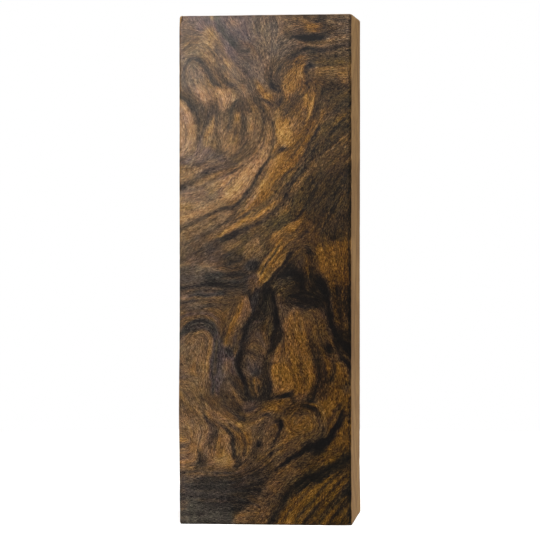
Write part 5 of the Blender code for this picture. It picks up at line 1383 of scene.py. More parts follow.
    patch(UMBER, 0.7, 0.5, (31.8, 32.4), (34.6, 32.4), (34.8, 29.6), (32.2, 29.4))
    patch(AMBER, 0.7, 0.45, (25.4, 28.8), (28.4, 28.8), (28.2, 26.4), (25.8, 26.4))
    patch(AMBER, 0.6, 0.5, (38.2, 29.6), (41, 30), (41, 27.6), (38.8, 25.4))
    vein(PEACH, 0.4, 0.5, 0.6, (7.5, 22.6), (6.9, 20))
    vein(CHAR, 0.35, 0.4, 0.7, (9.7, 23.2), (9.1, 20.6), (8.7, 18.4))
    spot(PEACH, 0.8, 0.55, (3.5, 16.4), 0.9, 2.2)
    spot(CHAR, 0.6, 0.6, (6.3, 14.9), 0.8, 1.7)
    vein(UMBER, 0.5, 0.6, 0.55, (12.2, 23.6), (13.5, 21), (14.5, 18.2))
    vein(TAN, 0.4, 0.5, 0.6, (23.6, 17.1), (27.6, 19.4), (31.4, 21.8), (34.4, 23))
    patch(UMBER, 0.8, 0.4, (22.2, 14), (24.8, 13.8), (24.6, 10.8), (22.4, 10.4))
    patch(TAUPE, 1, 0.4, (-1, 12), (1.6, 11.8), (2.4, 6), (2.2, -2), (-1, -2))
    patch(UMBER, 1, 0.35, (16.6, 4.8), (21, 4.6), (21, -1), (16.6, -1))
    spot(GOLD, 0.15, 0.85, (18.3, 33.9), 0.5, 0.55)
    spot(INK, 0.12, 1, (18.3, 33.9), 0.2, 0.25)
    vein(TAN, 0.2, 0.15, 0.7, (18, 32.9), (17.7, 31.9), (18.5, 30.9))
    patch(UMBER, 1.3, 0.5, (-1, 12.8), (6, 13), (12, 13.8), (17, 15.6), (17, 13), (10, 11.2), (-1, 10))
    for start, end in ((12.4, 10.6), (10.6, 8.4), (8.6, 7), (6.4, 4.6)):
        vein(DUSK, (0.15, 0.3, 0.2), 0.3, 0.5, (-1, start), (4, start + 0.3), (9, start),
             (14, end + 1.4), (19, end))
        vein(TAUPE, (0.1, 0.3, 0.1), 0.3, 0.3, (-1, start - 1), (5, start - 0.8), (10, start - 1),
             (15, end))
    patch(OLIVE, 1.3, 0.45, (21, 2), (24, 8), (28, 11.4), (34, 14.2), (40.4, 17), (40.4, 13.6),
          (34, 11), (29, 8), (25, 4.4), (22.6, 0.6))
    patch(CHAR, 1.2, 0.35, (20.4, 15.4), (27, 19.6), (33, 22.6), (37, 26), (40.4, 29), (40.4, 25.4),
          (36, 21), (30, 17.8), (22.4, 14.6))


# Small last areas and lines: tone, softness (and half width, for a line), strength, and then the points
LAST_PATCHES = (
    (WALNUT, 1.0, 0.4, ((0.6, 118.6), (4, 118.4), (5, 113), (3, 110.6), (0.8, 111))),
    (BROWN, 0.7, 0.6, ((33.6, 107), (41, 107.4), (41, 104.2), (37, 104.2), (34, 105))),
    (UMBER, 0.7, 0.5, ((25, 120.6), (29.6, 120.6), (30, 118), (28, 116.8), (25.6, 117.6))),
    (UMBER, 0.8, 0.35, ((8.6, 113.4), (10.6, 113.4), (11, 110), (9.4, 109.4))),
    (UMBER, 1.0, 0.3, ((13, 113.6), (19, 112.6), (20, 109.4), (15, 109))),
    (BROWN, 0.6, 0.45, ((16, 100), (18, 99.8), (17.6, 97.6), (16.2, 97.8))),
    (BROWN, 0.6, 0.45, ((21.6, 100), (23.4, 99.8), (23.4, 97.6), (21.8, 97.8))),
    (BROWN, 0.6, 0.5, ((26.4, 99.8), (28.6, 99.6), (28.4, 97.2), (26.6, 97.4))),
    (WALNUT, 0.8, 0.5, ((16.6, 70.4), (20.6, 70.6), (20.6, 67.4), (17.4, 67))),
    (CHAR, 0.8, 0.45, ((10.8, 63.6), (15, 63.6), (15.4, 60.6), (11.4, 60.4))),
    (TAN, 0.8, 0.5, ((16.4, 66), (19.4, 66.2), (20, 63.4), (17.4, 62.8))),
    (WALNUT, 0.9, 0.45, ((26.6, 66.4), (29.8, 66), (29.4, 63), (27, 63))),
    (AMBER, 0.9, 0.4, ((35.8, 66), (38.4, 66), (38.6, 57.6), (36, 57.2))),
    (WALNUT, 0.8, 0.5, ((31.8, 48), (34.4, 47.6), (34.8, 42), (34.4, 36.6), (32.6, 36), (32, 42))),
    (AMBER, 0.8, 0.65, ((27.2, 37.6), (30.6, 37), (31, 33), (28.6, 31.8), (27, 33.4))),
    (TAN, 0.6, 0.5, ((17.2, 43), (19, 43), (19.4, 41), (18.2, 40), (17, 41))),
    (BROWN, 0.8, 0.5, ((6.6, 51.6), (10.6, 51), (10.4, 48.6), (7, 49))),
    (BROWN, 0.8, 0.45, ((11, 55.4), (14.6, 55.2), (14.6, 52.8), (11.2, 52.8))),
    (BROWN, 0.6, 0.6, ((16.2, 58), (18.4, 58.2), (18.6, 55.8), (17, 55.2))),
    (UMBER, 0.8, 0.5, ((25.6, 56.8), (29, 56.2), (29, 54), (26, 54))),
    (UMBER, 0.8, 0.5, ((37.8, 53), (41, 53), (41, 48.4), (38.4, 48.6))),
    (WALNUT, 0.8, 0.5, ((4.6, 46.4), (7.4, 45.6), (7.6, 40), (5.4, 39.6))),
    (WALNUT, 1.2, 0.35, ((-1, 40), (4, 39), (4.6, 30), (3, 26.6), (-1, 27))),
    (BROWN, 0.7, 0.5, ((8.2, 20.6), (10.4, 20.8), (10.4, 16.4), (8.8, 16))),
    (BROWN, 0.8, 0.5, ((13.8, 22), (16.8, 21.4), (17, 18), (14.6, 17.6))),
    (TAN, 0.6, 0.55, ((31.4, 22.2), (34, 22.8), (34.4, 20.8), (32, 19.8))),
    (WALNUT, 0.6, 0.45, ((23.4, 17.6), (26.6, 18.2), (27, 16.4), (24.4, 15.2))),
    (CHAR, 0.8, 0.4, ((36.6, 18.6), (39.6, 19), (40, 16.6), (37, 16))),
    (UMBER, 0.8, 0.4, ((28, 16.6), (33, 16.6), (33, 14.2), (28.4, 14))),
    (TAUPE, 1.0, 0.4, ((-1, 12.6), (5, 11.6), (2.6, 9), (1.6, 4), (-1, 4))),
    (AMBER, 0.6, 0.55, ((38.8, 30), (41, 30), (41, 26.8), (39.6, 26.4))),
    (GOLD, 0.8, 0.7, ((27, 39), (30, 38.6), (30.6, 33), (28.4, 31.6), (26.8, 33))),
    (TAN, 0.8, 0.55, ((31.4, 48.4), (34.4, 48), (34.6, 43.4), (32, 43))),
    (BROWN, 0.7, 0.6, ((38, 54), (41, 54), (41, 48), (38.6, 48.4))),
    (AMBER, 0.7, 0.6, ((35.6, 60.6), (38.4, 60.4), (38.4, 57.4), (36, 57))),
    (TAUPE, 0.8, 0.5, ((-1, 60), (5, 60), (5, 57), (-1, 57))),
    (TAUPE, 0.6, 0.5, ((-1, 53.4), (5, 53), (5, 50.6), (-1, 50.8))),
    (UMBER, 0.5, 0.6, ((16.2, 57.8), (18.2, 58), (18.4, 55.2), (17, 54.6))),
    (BROWN, 0.7, 0.45, ((12, 55.4), (14.8, 55.2), (14.8, 53.2), (12.2, 53.2))),
    (WALNUT, 0.7, 0.4, ((3.2, 26.4), (5.6, 26), (5.6, 23.8), (3.6, 23.6))),
    (TAN, 0.5, 0.5, ((7, 24.4), (8.6, 23.6), (8.6, 21.6), (7.4, 21.8))),
    (PEACH, 0.8, 0.4, ((-1, 20), (3.6, 19.6), (3.6, 16.8), (-1, 16.6))),
    (TAUPE, 0.7, 0.6, ((-1, 9.4), (1.6, 9), (1.8, 4), (-1, 4))),
    (UMBER, 0.7, 0.4, ((37, 14), (40, 14.4), (40, 11), (37.4, 10.6))),
    (UMBER, 0.6, 0.4, ((35.6, 32.6), (37.6, 32.6), (37.8, 30), (36, 29.8))),
    (CHAR, 0.6, 0.5, ((39.4, 39.6), (41, 39.6), (41, 35.8), (39.8, 36))),
    (UMBER, 0.8, 0.4, ((1, 118), (4, 117.6), (4.8, 113.6), (3, 111.4), (1, 112))),
    (UMBER, 0.6, 0.5, ((24, 109.8), (26.2, 109.8), (26, 107.2), (24.4, 107))),
    (UMBER, 0.6, 0.4, ((26.4, 100.2), (28.4, 100), (28.2, 98), (26.6, 98))),
    (UMBER, 0.6, 0.4, ((16.2, 100.4), (18, 100.2), (17.8, 98), (16.4, 98))),
    (UMBER, 0.6, 0.4, ((21.6, 100.4), (23.4, 100.2), (23.2, 98.4), (21.8, 98.4))),
    (TAN, 0.7, 0.6, ((33.8, 107.4), (41, 107.6), (41, 104.6), (36, 104.6))),
    (TAUPE, 0.6, 0.4, ((33, 111.8), (41, 111.6), (41, 109.8), (35, 109.6))),
    (WALNUT, 0.8, 0.5, ((19.6, 70.4), (23, 69.6), (22.6, 66.6), (20, 66.6))),
    (CHAR, 0.8, 0.45, ((12, 64), (15.6, 63.8), (15.6, 61), (12.4, 61))),
    (BROWN, 0.8, 0.5, ((26.8, 66.4), (30, 66), (29.6, 63.4), (27.2, 63.2))),
)
LAST_VEINS = (
    (UMBER, 0.7, 0.8, 0.55, ((32.6, 98.6), (30.6, 94.6), (28.6, 91), (26, 87.2))),
    (TAN, 0.6, 0.6, 0.5, ((27.4, 78.2), (28.8, 80.6), (30.2, 82.6))),
    (WALNUT, 0.6, 0.5, 0.55, ((25.6, 79), (27.4, 82.4), (29.6, 85.8))),
    (WALNUT, 0.7, 0.6, 0.5, ((33.4, 89.4), (35.4, 91), (37.6, 92.4))),
    (GOLD, 0.5, 0.5, 0.5, ((20.4, 80), (21.9, 83), (23.6, 86))),
    (UMBER, 0.4, 0.5, 0.5, ((17.8, 77.6), (19.3, 80.8), (21, 84.2))),
    (BROWN, 0.5, 0.6, 0.5, ((6.4, 82), (9.4, 83.2), (12.4, 84.2))),
    (WALNUT, 0.6, 0.6, 0.5, ((12.4, 79.6), (13.8, 81.4), (15, 83.4))),
    (TAN, 0.5, 0.5, 0.5, ((-1, 71.6), (3, 72.2), (6, 73.6), (9, 75.2))),
    (WALNUT, 0.4, 0.5, 0.55, ((3.6, 70), (6.4, 71.2), (9.4, 72.8))),
    (UMBER, 0.4, 0.5, 0.5, ((15, 69.2), (17.2, 70.8), (19.4, 72.2))),
    (GOLD, 0.5, 0.5, 0.55, ((31.4, 102.8), (31.9, 101), (31.4, 99))),
    (CHAR, 0.35, 0.5, 0.6, ((23.6, 106.6), (24.8, 109.2), (27, 110.6))),
    (BROWN, 0.5, 0.6, 0.45, ((6.6, 95), (7, 93), (6.6, 91))),
    (BROWN, 0.5, 0.6, 0.45, ((4, 80.6), (7, 82), (10.4, 83.6))),
    (TAN, 0.6, 0.5, 0.55, ((-1, 70.2), (3, 71.4), (6.6, 72.8))),
    (GOLD, 0.45, 0.5, 0.45, ((18.4, 77.6), (20, 81), (22, 84.6), (23.4, 87))),
    (TAN, 0.5, 0.5, 0.45, ((20, 72), (22.4, 73.8), (24.6, 76.4))),
    (UMBER, 0.5, 0.6, 0.5, ((23.6, 60.6), (24.6, 63.4), (26, 65.6))),
    (INK, 0.5, 0.4, 0.6, ((15.2, 41.6), (14.9, 39.4), (15, 37))),
    (CHAR, 0.45, 0.5, 0.5, ((22.9, 41), (22, 38.6), (21.6, 36))),
    (PEACH, 0.5, 0.4, 0.6, ((14.6, 48.6), (15.6, 50.6), (16.2, 52.6))),
    (GOLD, 0.55, 0.4, 0.6, ((19.2, 56.6), (20.2, 58.2), (21.6, 60.2))),
    (CHAR, 0.5, 0.7, 0.5, ((26, 52.4), (29, 51.4), (32, 51.6))),
    (INK, 0.7, 0.6, 0.5, ((35.6, 50), (36.6, 46.6), (37.4, 43), (38.6, 40.4))),
    (PEACH, 0.5, 0.4, 0.5, ((7.2, 26.4), (9, 24.4), (10.6, 22.6))),
    (PEACH, 0.5, 0.5, 0.45, ((11.4, 21.6), (12, 19.4), (12, 16.6))),
    (INK, 0.35, 0.4, 0.5, ((38.4, 28.4), (37.2, 26.4), (35.6, 24.4))),
    (GOLD, 0.4, 0.4, 0.6, ((18.9, 56.4), (19.6, 57.8), (20.2, 59))),
    (BROWN, 0.4, 0.4, 0.6, ((20.8, 58.6), (21.8, 60.6))),
    (INK, 0.4, 0.4, 0.5, ((15.9, 41), (15.7, 38.4), (15.9, 36))),
    (BROWN, 0.5, 0.5, 0.45, ((14.8, 26), (16.6, 26.2), (18.4, 26.6))),
    (BROWN, 0.45, 0.4, 0.5, ((7.9, 20), (7.7, 17.6), (8.2, 15.6))),
    (PEACH, 0.4, 0.4, 0.5, ((5.4, 17.8), (5.7, 16.4), (6.2, 15.4))),
    (TAN, 0.5, 0.5, 0.5, ((23.4, 16.4), (25.6, 17.6), (28, 18.8))),
    (INK, 0.4, 0.5, 0.5, ((37.8, 28), (36.8, 26.6), (35.8, 25))),
    (GOLD, 0.35, 0.12, 0.75, ((18, 34.5), (18.6, 34.3), (18.8, 33.8), (18.4, 33.4), (17.9, 33.6),
                              (17.9, 34.2))),
)


def shade_last(figure):
    """The last small areas and lines, laid over everything else."""
    for tone, soft, strength, points in LAST_PATCHES:
        figure.patch(tone, soft, strength, *points)
    for tone, width, soft, strength, points in LAST_VEINS:
        figure.vein(tone, width, soft, strength, *points)
    figure.spot(INK, 0.1, 1, (18.35, 33.9), 0.22, 0.25)
    figure.vein(INK, 0.2, 0.2, 0.55, (40.45, 0), (40.4, 60), (40.45, 120))


def painted_figure():
    figure = Figure()
    paint_top(figure)
    paint_upper_middle(figure)
    paint_middle(figure)
    paint_lower_middle(figure)
    paint_foot(figure)
    shade_upper_half(figure)
    shade_lower_half(figure)
    shade_last(figure)
    figure.settle_grain()
    figure.deepen()
    figure.add_streaks()
    return figure


# The mesh: six gridded faces, joined edge to edge, laid on the surface of the CAD solid
FRONT_STEP_MM = 0.285
BACK_STEP_MM = 0.52
SIDE_STEP_MM = 0.95
EDGE_STEP_MM = 0.36
CORNER_STEP_MM = 0.12
ARRIS_MM = 0.35
STEP_GROWTH = 1.25
CENTRE = Vector(((low.x + high.x) / 2, (low.y + high.y) / 2, (low.z + high.z) / 2))


def spaced(length, fine, coarse):
    """Places from one arris to the other: fine steps near both ends, coarse ones between."""
    steps = []
    step = fine
    while sum(steps) < length / 2 - ARRIS_MM:
        steps.append(step)
        step = min(coarse, step * STEP_GROWTH)
    steps = np.array(steps + steps[::-1])
    steps *= (length - 2 * ARRIS_MM) / steps.sum()
    return ARRIS_MM + np.concatenate(([0], np.cumsum(steps)))


class Face:
    """One of the block's six faces: a corner, two directions in millimetres and its two lengths."""

    def __init__(self, name, corner, across, up, lengths, step):
        self.name = name
        self.corner = np.array(corner, float)
        self.across = np.array(across, float)
        self.up = np.array(up, float)
        self.lengths = lengths
        self.outward = np.cross(self.across, self.up)
        fine = min(step, EDGE_STEP_MM)
        self.u = spaced(lengths[0], fine, step)
        self.v = spaced(lengths[1], fine, step)

    def at(self, u, v):
        return self.corner + np.multiply.outer(u, self.across) + np.multiply.outer(v, self.up)


def block_faces():
    """The faces in a box whose lowest front left corner is (0, 0, 0), in millimetres."""
    w, d, h = WIDTH_MM, DEPTH_MM, HEIGHT_MM
    x, y, z = np.eye(3)
    return [
        Face("front", (0, 0, 0), x, z, (w, h), FRONT_STEP_MM),
        Face("back", (w, d, 0), -x, z, (w, h), BACK_STEP_MM),
        Face("left", (0, d, 0), -y, z, (d, h), SIDE_STEP_MM),
        Face("right", (w, 0, 0), y, z, (d, h), SIDE_STEP_MM),
        Face("top", (0, 0, h), x, y, (w, d), SIDE_STEP_MM),
        Face("bottom", (0, d, 0), x, -y, (w, d), SIDE_STEP_MM),
    ]


def edge_key(start, end):
    ends = (tuple(np.round(start, 3)), tuple(np.round(end, 3)))
    return min(ends), max(ends)


class BlockMesh:
    """Collects the vertices and faces of the whole block."""

    def __init__(self):
        self.places = []
        self.face_of = []
        self.polygons = []
        self.polygon_face = []
        self.corner_uv = []
        self.edges = {}

    def add_points(self, points, face):
        first = len(self.places)
        self.places.extend(points)
        self.face_of.extend([face] * len(points))
        return list(range(first, len(self.places)))

    def edge_points(self, start, end, spots):
        """The shared vertices of one edge, in order from start to end, with their distances along it."""
        key = edge_key(start, end)
        length = np.linalg.norm(end - start)
        if key not in self.edges:
            inner = np.concatenate(([CORNER_STEP_MM], spots, [length - CORNER_STEP_MM]))
            first, last = np.array(key[0]), np.array(key[1])
            shares = inner / length
            points = [first + (last - first) * share for share in shares]
            corners = [self.corner_index(first), self.corner_index(last)]
            made = self.add_points(points, -1)
            numbers = [corners[0]] + made + [corners[1]]
            self.edges[key] = (numbers, np.concatenate(([0], inner, [length])))
        numbers, travelled = self.edges[key]
        if tuple(np.round(start, 3)) == key[0]:
            return numbers, travelled
        return numbers[::-1], length - travelled[::-1]

    def corner_index(self, place):
        key = ("corner", tuple(np.round(place, 3)))
        if key not in self.edges:
            self.edges[key] = self.add_points([np.array(place)], -1)[0]
        return self.edges[key]

    def add_polygon(self, numbers, face_number, face):
        self.polygons.append(numbers)
        self.polygon_face.append(face_number)
        for number in numbers:
            offset = self.places[number] - face.corner
            self.corner_uv.append((offset @ face.across, offset @ face.up))

    def zip_rows(self, outer, outer_at, inner, inner_at, face_number, face):
        """Fills the strip between two rows of vertices that may differ in number."""
        i = 0
        j = 0
        while i < len(outer) - 1 or j < len(inner) - 1:
            outer_next = outer_at[i + 1] if i < len(outer) - 1 else math.inf
            inner_next = inner_at[j + 1] if j < len(inner) - 1 else math.inf
            if outer_next <= inner_next:
                self.add_polygon((outer[i], outer[i + 1], inner[j]), face_number, face)
                i += 1
            else:
                self.add_polygon((outer[i], inner[j + 1], inner[j]), face_number, face)
                j += 1

    def add_face(self, face_number, face, edge_spots):
        columns, rows = len(face.u), len(face.v)
        v, u = np.meshgrid(face.v, face.u, indexing="ij")
        made = self.add_points(face.at(u.ravel(), v.ravel()), face_number)
        grid = np.array(made).reshape(rows, columns)
        for row in range(rows - 1):
            for column in range(columns - 1):
                below = (grid[row, column], grid[row, column + 1])
                above = (grid[row + 1, column + 1], grid[row + 1, column])
                self.add_polygon(below + above, face_number, face)
        wide, tall = face.lengths
        corners = [face.at(*spot) for spot in ((0, 0), (wide, 0), (wide, tall), (0, tall))]
        rims = (
            (grid[0], face.u),
            (grid[:, -1], face.v),
            (grid[-1, ::-1], wide - face.u[::-1]),
            (grid[::-1, 0], tall - face.v[::-1]),
        )
        for side, (inner, inner_at) in enumerate(rims):
            start, end = corners[side], corners[(side + 1) % 4]
            outer, outer_at = self.edge_points(start, end, edge_spots[edge_key(start, end)])
            self.zip_rows(outer, outer_at, list(inner), inner_at, face_number, face)


def shared_edge_spots(faces):
    """For each edge of the block, the places of its vertices: those of the finer of its two faces."""
    found = {}
    for face in faces:
        wide, tall = face.lengths
        corners = [face.at(*spot) for spot in ((0, 0), (wide, 0), (wide, tall), (0, tall))]
        for side in range(4):
            key = edge_key(corners[side], corners[(side + 1) % 4])
            spots = (face.u, face.v)[side % 2]
            if key not in found or len(spots) > len(found[key]):
                found[key] = spots
    return found


def build_mesh():
    faces = block_faces()
    edge_spots = shared_edge_spots(faces)
    made = BlockMesh()
    for number, face in enumerate(faces):
        made.add_face(number, face, edge_spots)
    return faces, made


def on_solid(places):
    """Moves each place, in millimetres from the box's corner, to the nearest point of the CAD solid."""
    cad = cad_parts["walnut_block"].data
    tree = BVHTree.FromPolygons([v.co for v in cad.vertices], [p.vertices for p in cad.polygons])
    origin = np.array(low)
    found = np.empty_like(places)
    normals = np.empty_like(places)
    for number, place in enumerate(places * MM + origin):
        spot, normal, _, _ = tree.find_nearest(Vector(place))
        found[number] = spot
        normals[number] = normal
    return found, normals


# How the figure of the front runs through the block to its other faces
FOLD = 0.55
BACK_SHIFT_MM = 3.5
DIRECTIONS = 6
SIDE_RELIEF_MM = 0.022
END_RELIEF_MM = 0.030
FRONT_RELIEF_MM = 0.010
WORN_EDGE_MM = 0.13


def face_weights(places):
    """How much each place belongs to a side (left or right) and to an end (top or bottom)."""
    reach = 0.6
    to_side = np.minimum(places[:, 0], WIDTH_MM - places[:, 0])
    to_end = np.minimum(places[:, 2], HEIGHT_MM - places[:, 2])
    to_broad = np.minimum(places[:, 1], DEPTH_MM - places[:, 1])
    side = (to_side < reach) & (to_side < to_broad)
    end = (to_end < reach) & (to_end < to_broad) & (to_end < to_side)
    return side & ~end, end


def figure_on(figure, places):
    """Tone, warmth, hue, fleck and doubled grain angle at each place in the box, in millimetres."""
    x, y, z = places.T
    inward_x = 1 - 2 * x / WIDTH_MM
    inward_z = 1 - 2 * z / HEIGHT_MM
    behind = DEPTH_MM - y
    back_share = smoothstep((y / DEPTH_MM - 0.3) / 0.4)
    front_u = (x + FOLD * y * inward_x) / figure.CELL
    front_v = (z + FOLD * y * inward_z) / figure.CELL
    shift_x = BACK_SHIFT_MM * soft_noise(x, z, 14, 51)
    shift_z = BACK_SHIFT_MM * soft_noise(x, z, 14, 52)
    back_u = (x + FOLD * behind * inward_x + shift_x) / figure.CELL
    back_v = (HEIGHT_MM - z - FOLD * behind * inward_z + shift_z) / figure.CELL
    found = []
    for values in (figure.tone, figure.warmth, figure.hue, figure.fleck, figure.cosine, figure.sine):
        plane = values.reshape(figure.rows, figure.columns)
        front = between(plane, front_u, front_v)
        back = between(plane, back_u, back_v)
        found.append(front + (back - front) * back_share)
    return found


def relief(places, side, end, tone):
    """How far each place lies under the CAD surface, in millimetres: sanding and saw marks, worn edges."""
    x, y, z = places.T
    depth = FRONT_RELIEF_MM * (1 + soft_noise(x, z, 3.0, 61)) + 0.02 * np.clip(0.2 - tone, 0, 1)
    along_side = soft_noise(y * 1.3, z * 0.12, 1.6, 62)
    depth = np.where(side, SIDE_RELIEF_MM * (1 + along_side), depth)
    across_end = soft_noise(x * 0.2 + y * 1.1, y * 0.2 + 8, 1.9, 63)
    depth = np.where(end, END_RELIEF_MM * (1 + across_end), depth)
    gaps = np.sort(
        np.stack((
            np.minimum(x, WIDTH_MM - x),
            np.minimum(y, DEPTH_MM - y),
            np.minimum(z, HEIGHT_MM - z),
        )),
        axis=0,
    )
    near_edge = smoothstep(1 - gaps[1] / 0.5)
    nicks = np.clip(soft_noise(x + y, z + 0.6 * y, 1.4, 64) + 0.5 * soft_noise(x - y, z, 0.7, 65), 0, 1)
    return depth + WORN_EDGE_MM * near_edge * nicks


def uv_layout():
    """Where each face's lower left corner goes in the square texture map, in millimetres, and its side."""
    gap = 2.0
    w, d, h = WIDTH_MM, DEPTH_MM, HEIGHT_MM
    corners = {
        "front": (gap, gap),
        "back": (2 * gap + w, gap),
        "left": (3 * gap + 2 * w, gap),
        "right": (4 * gap + 2 * w + d, gap),
        "top": (gap, 2 * gap + h),
        "bottom": (2 * gap + w, 2 * gap + h),
    }
    return corners, 5 * gap + 2 * w + 2 * d


def add_attribute(mesh, name, values):
    kind = "FLOAT" if values.ndim == 1 else "FLOAT_VECTOR"
    made = mesh.attributes.new(name, kind, "POINT")
    made.data.foreach_set("value" if kind == "FLOAT" else "vector", values.astype(np.float32).ravel())


def grain_weights(cosine, sine, isotropic):
    """How strongly each of the six fibre directions counts at each vertex."""
    angles = np.arange(DIRECTIONS) * math.pi / DIRECTIONS
    match = cosine[:, None] * np.cos(2 * angles) + sine[:, None] * np.sin(2 * angles)
    weights = np.clip(match, 0, None) ** 4
    weights[isotropic] = 1
    return weights / np.sqrt((weights**2).sum(1, keepdims=True))


def walnut_surface(figure):
    """The whole visible block, with its figure as vertex attributes."""
    faces, made = build_mesh()
    places = np.array(made.places)
    side, end = face_weights(places)
    tone, warmth, hue, fleck, cosine, sine = figure_on(figure, places)
    upright = np.where(side, 0.85, 0.0)
    cosine = cosine * (1 - upright) - upright
    sine = sine * (1 - upright)
    size = np.maximum(np.hypot(cosine, sine), 1e-6)
    weights = grain_weights(cosine / size, sine / size, end)
    spots, normals = on_solid(places)
    spots -= normals * (relief(places, side, end, tone) * MM)[:, None]

    mesh = bpy.data.meshes.new("walnut_block_surface")
    mesh.from_pydata(spots.tolist(), [], made.polygons)
    add_attribute(mesh, "figure_tone", tone)
    add_attribute(mesh, "figure_warmth", warmth)
    add_attribute(mesh, "figure_hue", hue)
    add_attribute(mesh, "figure_fleck", fleck)
    add_attribute(mesh, "grain_a", weights[:, :3])
    add_attribute(mesh, "grain_b", weights[:, 3:])
    corners, square = uv_layout()
    offsets = np.array([corners[face.name] for face in faces])
    face_numbers = np.array(made.polygon_face)
    corner_counts = [len(numbers) for numbers in made.polygons]
    uv = (np.array(made.corner_uv) + np.repeat(offsets[face_numbers], corner_counts, axis=0)) / square
    layer = mesh.uv_layers.new(name=UV_NAME)
    layer.uv.foreach_set("vector", uv.astype(np.float32).ravel())
    for material in (oiled_walnut(square), sawn_walnut(square), end_grain_walnut(square)):
        mesh.materials.append(material)
    slots = np.array([0, 0, 1, 1, 2, 2])
    mesh.polygons.foreach_set("material_index", slots[face_numbers].astype(np.int32))
    mesh.shade_smooth()
    mesh.update()
    block = bpy.data.objects.new("walnut_block_surface", mesh)
    bpy.context.scene.collection.objects.link(block)
    return block


# Materials
UV_NAME = "OFBake"
WARM_TONES = (
    (0.00, (7, 4, 2)),
    (0.05, (17, 11, 5)),
    (0.12, (42, 27, 9)),
    (0.20, (70, 45, 13)),
    (0.30, (105, 69, 21)),
    (0.40, (141, 95, 34)),
    (0.50, (175, 122, 52)),
    (0.60, (204, 149, 76)),
    (0.75, (232, 187, 120)),
)
COOL_TONES = (
    (0.00, (7, 6, 6)),
    (0.05, (15, 13, 13)),
    (0.12, (36, 31, 30)),
    (0.20, (58, 51, 48)),
    (0.30, (86, 77, 70)),
    (0.40, (114, 103, 93)),
    (0.50, (142, 130, 117)),
    (0.60, (170, 157, 142)),
    (0.75, (206, 196, 184)),
)
OILED_GAIN = 0.635
GREEN_LEAN = 0.07


def linear(colour, gain=1.0):
    """A colour given as 0 to 255 display values, as the linear one that a shader takes."""
    shares = np.array(colour, float) / 255
    return (*(np.where(shares <= 0.04045, shares / 12.92, ((shares + 0.055) / 1.055) ** 2.4) * gain), 1.0)


def add_node(tree, kind, inputs=(), **settings):
    """A new node with these settings, and its inputs set to values or joined to other nodes' outputs."""
    node = tree.nodes.new(kind)
    for name, value in settings.items():
        setattr(node, name, value)
    for name, value in dict(inputs).items():
        if isinstance(value, bpy.types.NodeSocket):
            tree.links.new(value, node.inputs[name])
        else:
            node.inputs[name].default_value = value
    return node


def maths(tree, operation, first, second=0.0, third=0.0, clamp=False):
    values = {0: first, 1: second, 2: third}
    return add_node(tree, "ShaderNodeMath", values, operation=operation, use_clamp=clamp).outputs[0]


def attribute(tree, name, output="Fac"):
    node = add_node(tree, "ShaderNodeAttribute", attribute_name=name, attribute_type="GEOMETRY")
    return node.outputs[output]


def place_on_face(tree, square):
    """Millimetres across and up each face, from the texture map."""
    uv = add_node(tree, "ShaderNodeUVMap", uv_map=UV_NAME).outputs["UV"]
    sizes = (square, square, square)
    scaled = add_node(tree, "ShaderNodeVectorMath", {0: uv, 1: sizes}, operation="MULTIPLY")
    return scaled.outputs[0]


def tone_ramp(tree, tone, stops, gain):
    node = add_node(tree, "ShaderNodeValToRGB", {"Fac": tone})
    ramp = node.color_ramp
    while len(ramp.elements) < len(stops):
        ramp.elements.new(0.5)
    for element, (position, colour) in zip(ramp.elements, stops):
        element.position = position
        element.color = linear(colour, gain)
    return node.outputs["Color"]


def fibres(tree, place, along, across, detail=1.0):
    """Noise stretched along the grain: one for each of six directions, weighed by the vertex attributes."""
    total = 0.0
    for group, name in enumerate(("grain_a", "grain_b")):
        parts = add_node(tree, "ShaderNodeSeparateXYZ", {0: attribute(tree, name, "Vector")})
        for part in range(3):
            angle = (group * 3 + part) * math.pi / DIRECTIONS
            turn = {"Vector": place, "Angle": -angle}
            turned = add_node(tree, "ShaderNodeVectorRotate", turn, rotation_type="Z_AXIS")
            squeezed = add_node(
                tree,
                "ShaderNodeVectorMath",
                {0: turned.outputs[0], 1: (1 / along, 1 / across, 1)},
                operation="MULTIPLY",
            )
            noise = add_node(
                tree,
                "ShaderNodeTexNoise",
                {"Vector": squeezed.outputs[0], "Scale": 1.0, "Detail": detail, "Roughness": 0.6},
                noise_dimensions="2D",
            )
            centred = maths(tree, "SUBTRACT", noise.outputs["Fac"], 0.5)
            total = maths(tree, "MULTIPLY_ADD", centred, parts.outputs[part], total)
    return total


def speckle(tree, place, size, detail=1.0):
    noise = add_node(
        tree,
        "ShaderNodeTexNoise",
        {"Vector": place, "Scale": 1 / size, "Detail": detail, "Roughness": 0.6},
        noise_dimensions="2D",
    )
    return maths(tree, "SUBTRACT", noise.outputs["Fac"], 0.5)


def new_material(name):
    material = bpy.data.materials.new(name)
    material.use_nodes = True
    tree = material.node_tree
    return material, tree, tree.nodes["Principled BSDF"]


def bumped(tree, shader, height, depth_mm):
    bump = add_node(tree, "ShaderNodeBump", {"Height": height, "Distance": depth_mm * MM})
    tree.links.new(bump.outputs["Normal"], shader.inputs["Normal"])


def leaned(tree, colour, hue):
    """A colour leant towards green, or towards purple where the hue is negative."""
    green = (-GREEN_LEAN, GREEN_LEAN, -GREEN_LEAN)
    lean = add_node(tree, "ShaderNodeVectorMath", {0: green, "Scale": hue}, operation="SCALE")
    shares = add_node(tree, "ShaderNodeVectorMath", {0: lean.outputs[0], 1: (1, 1, 1)}, operation="ADD")
    factors = {0: colour, 1: shares.outputs[0]}
    return add_node(tree, "ShaderNodeVectorMath", factors, operation="MULTIPLY").outputs[0]


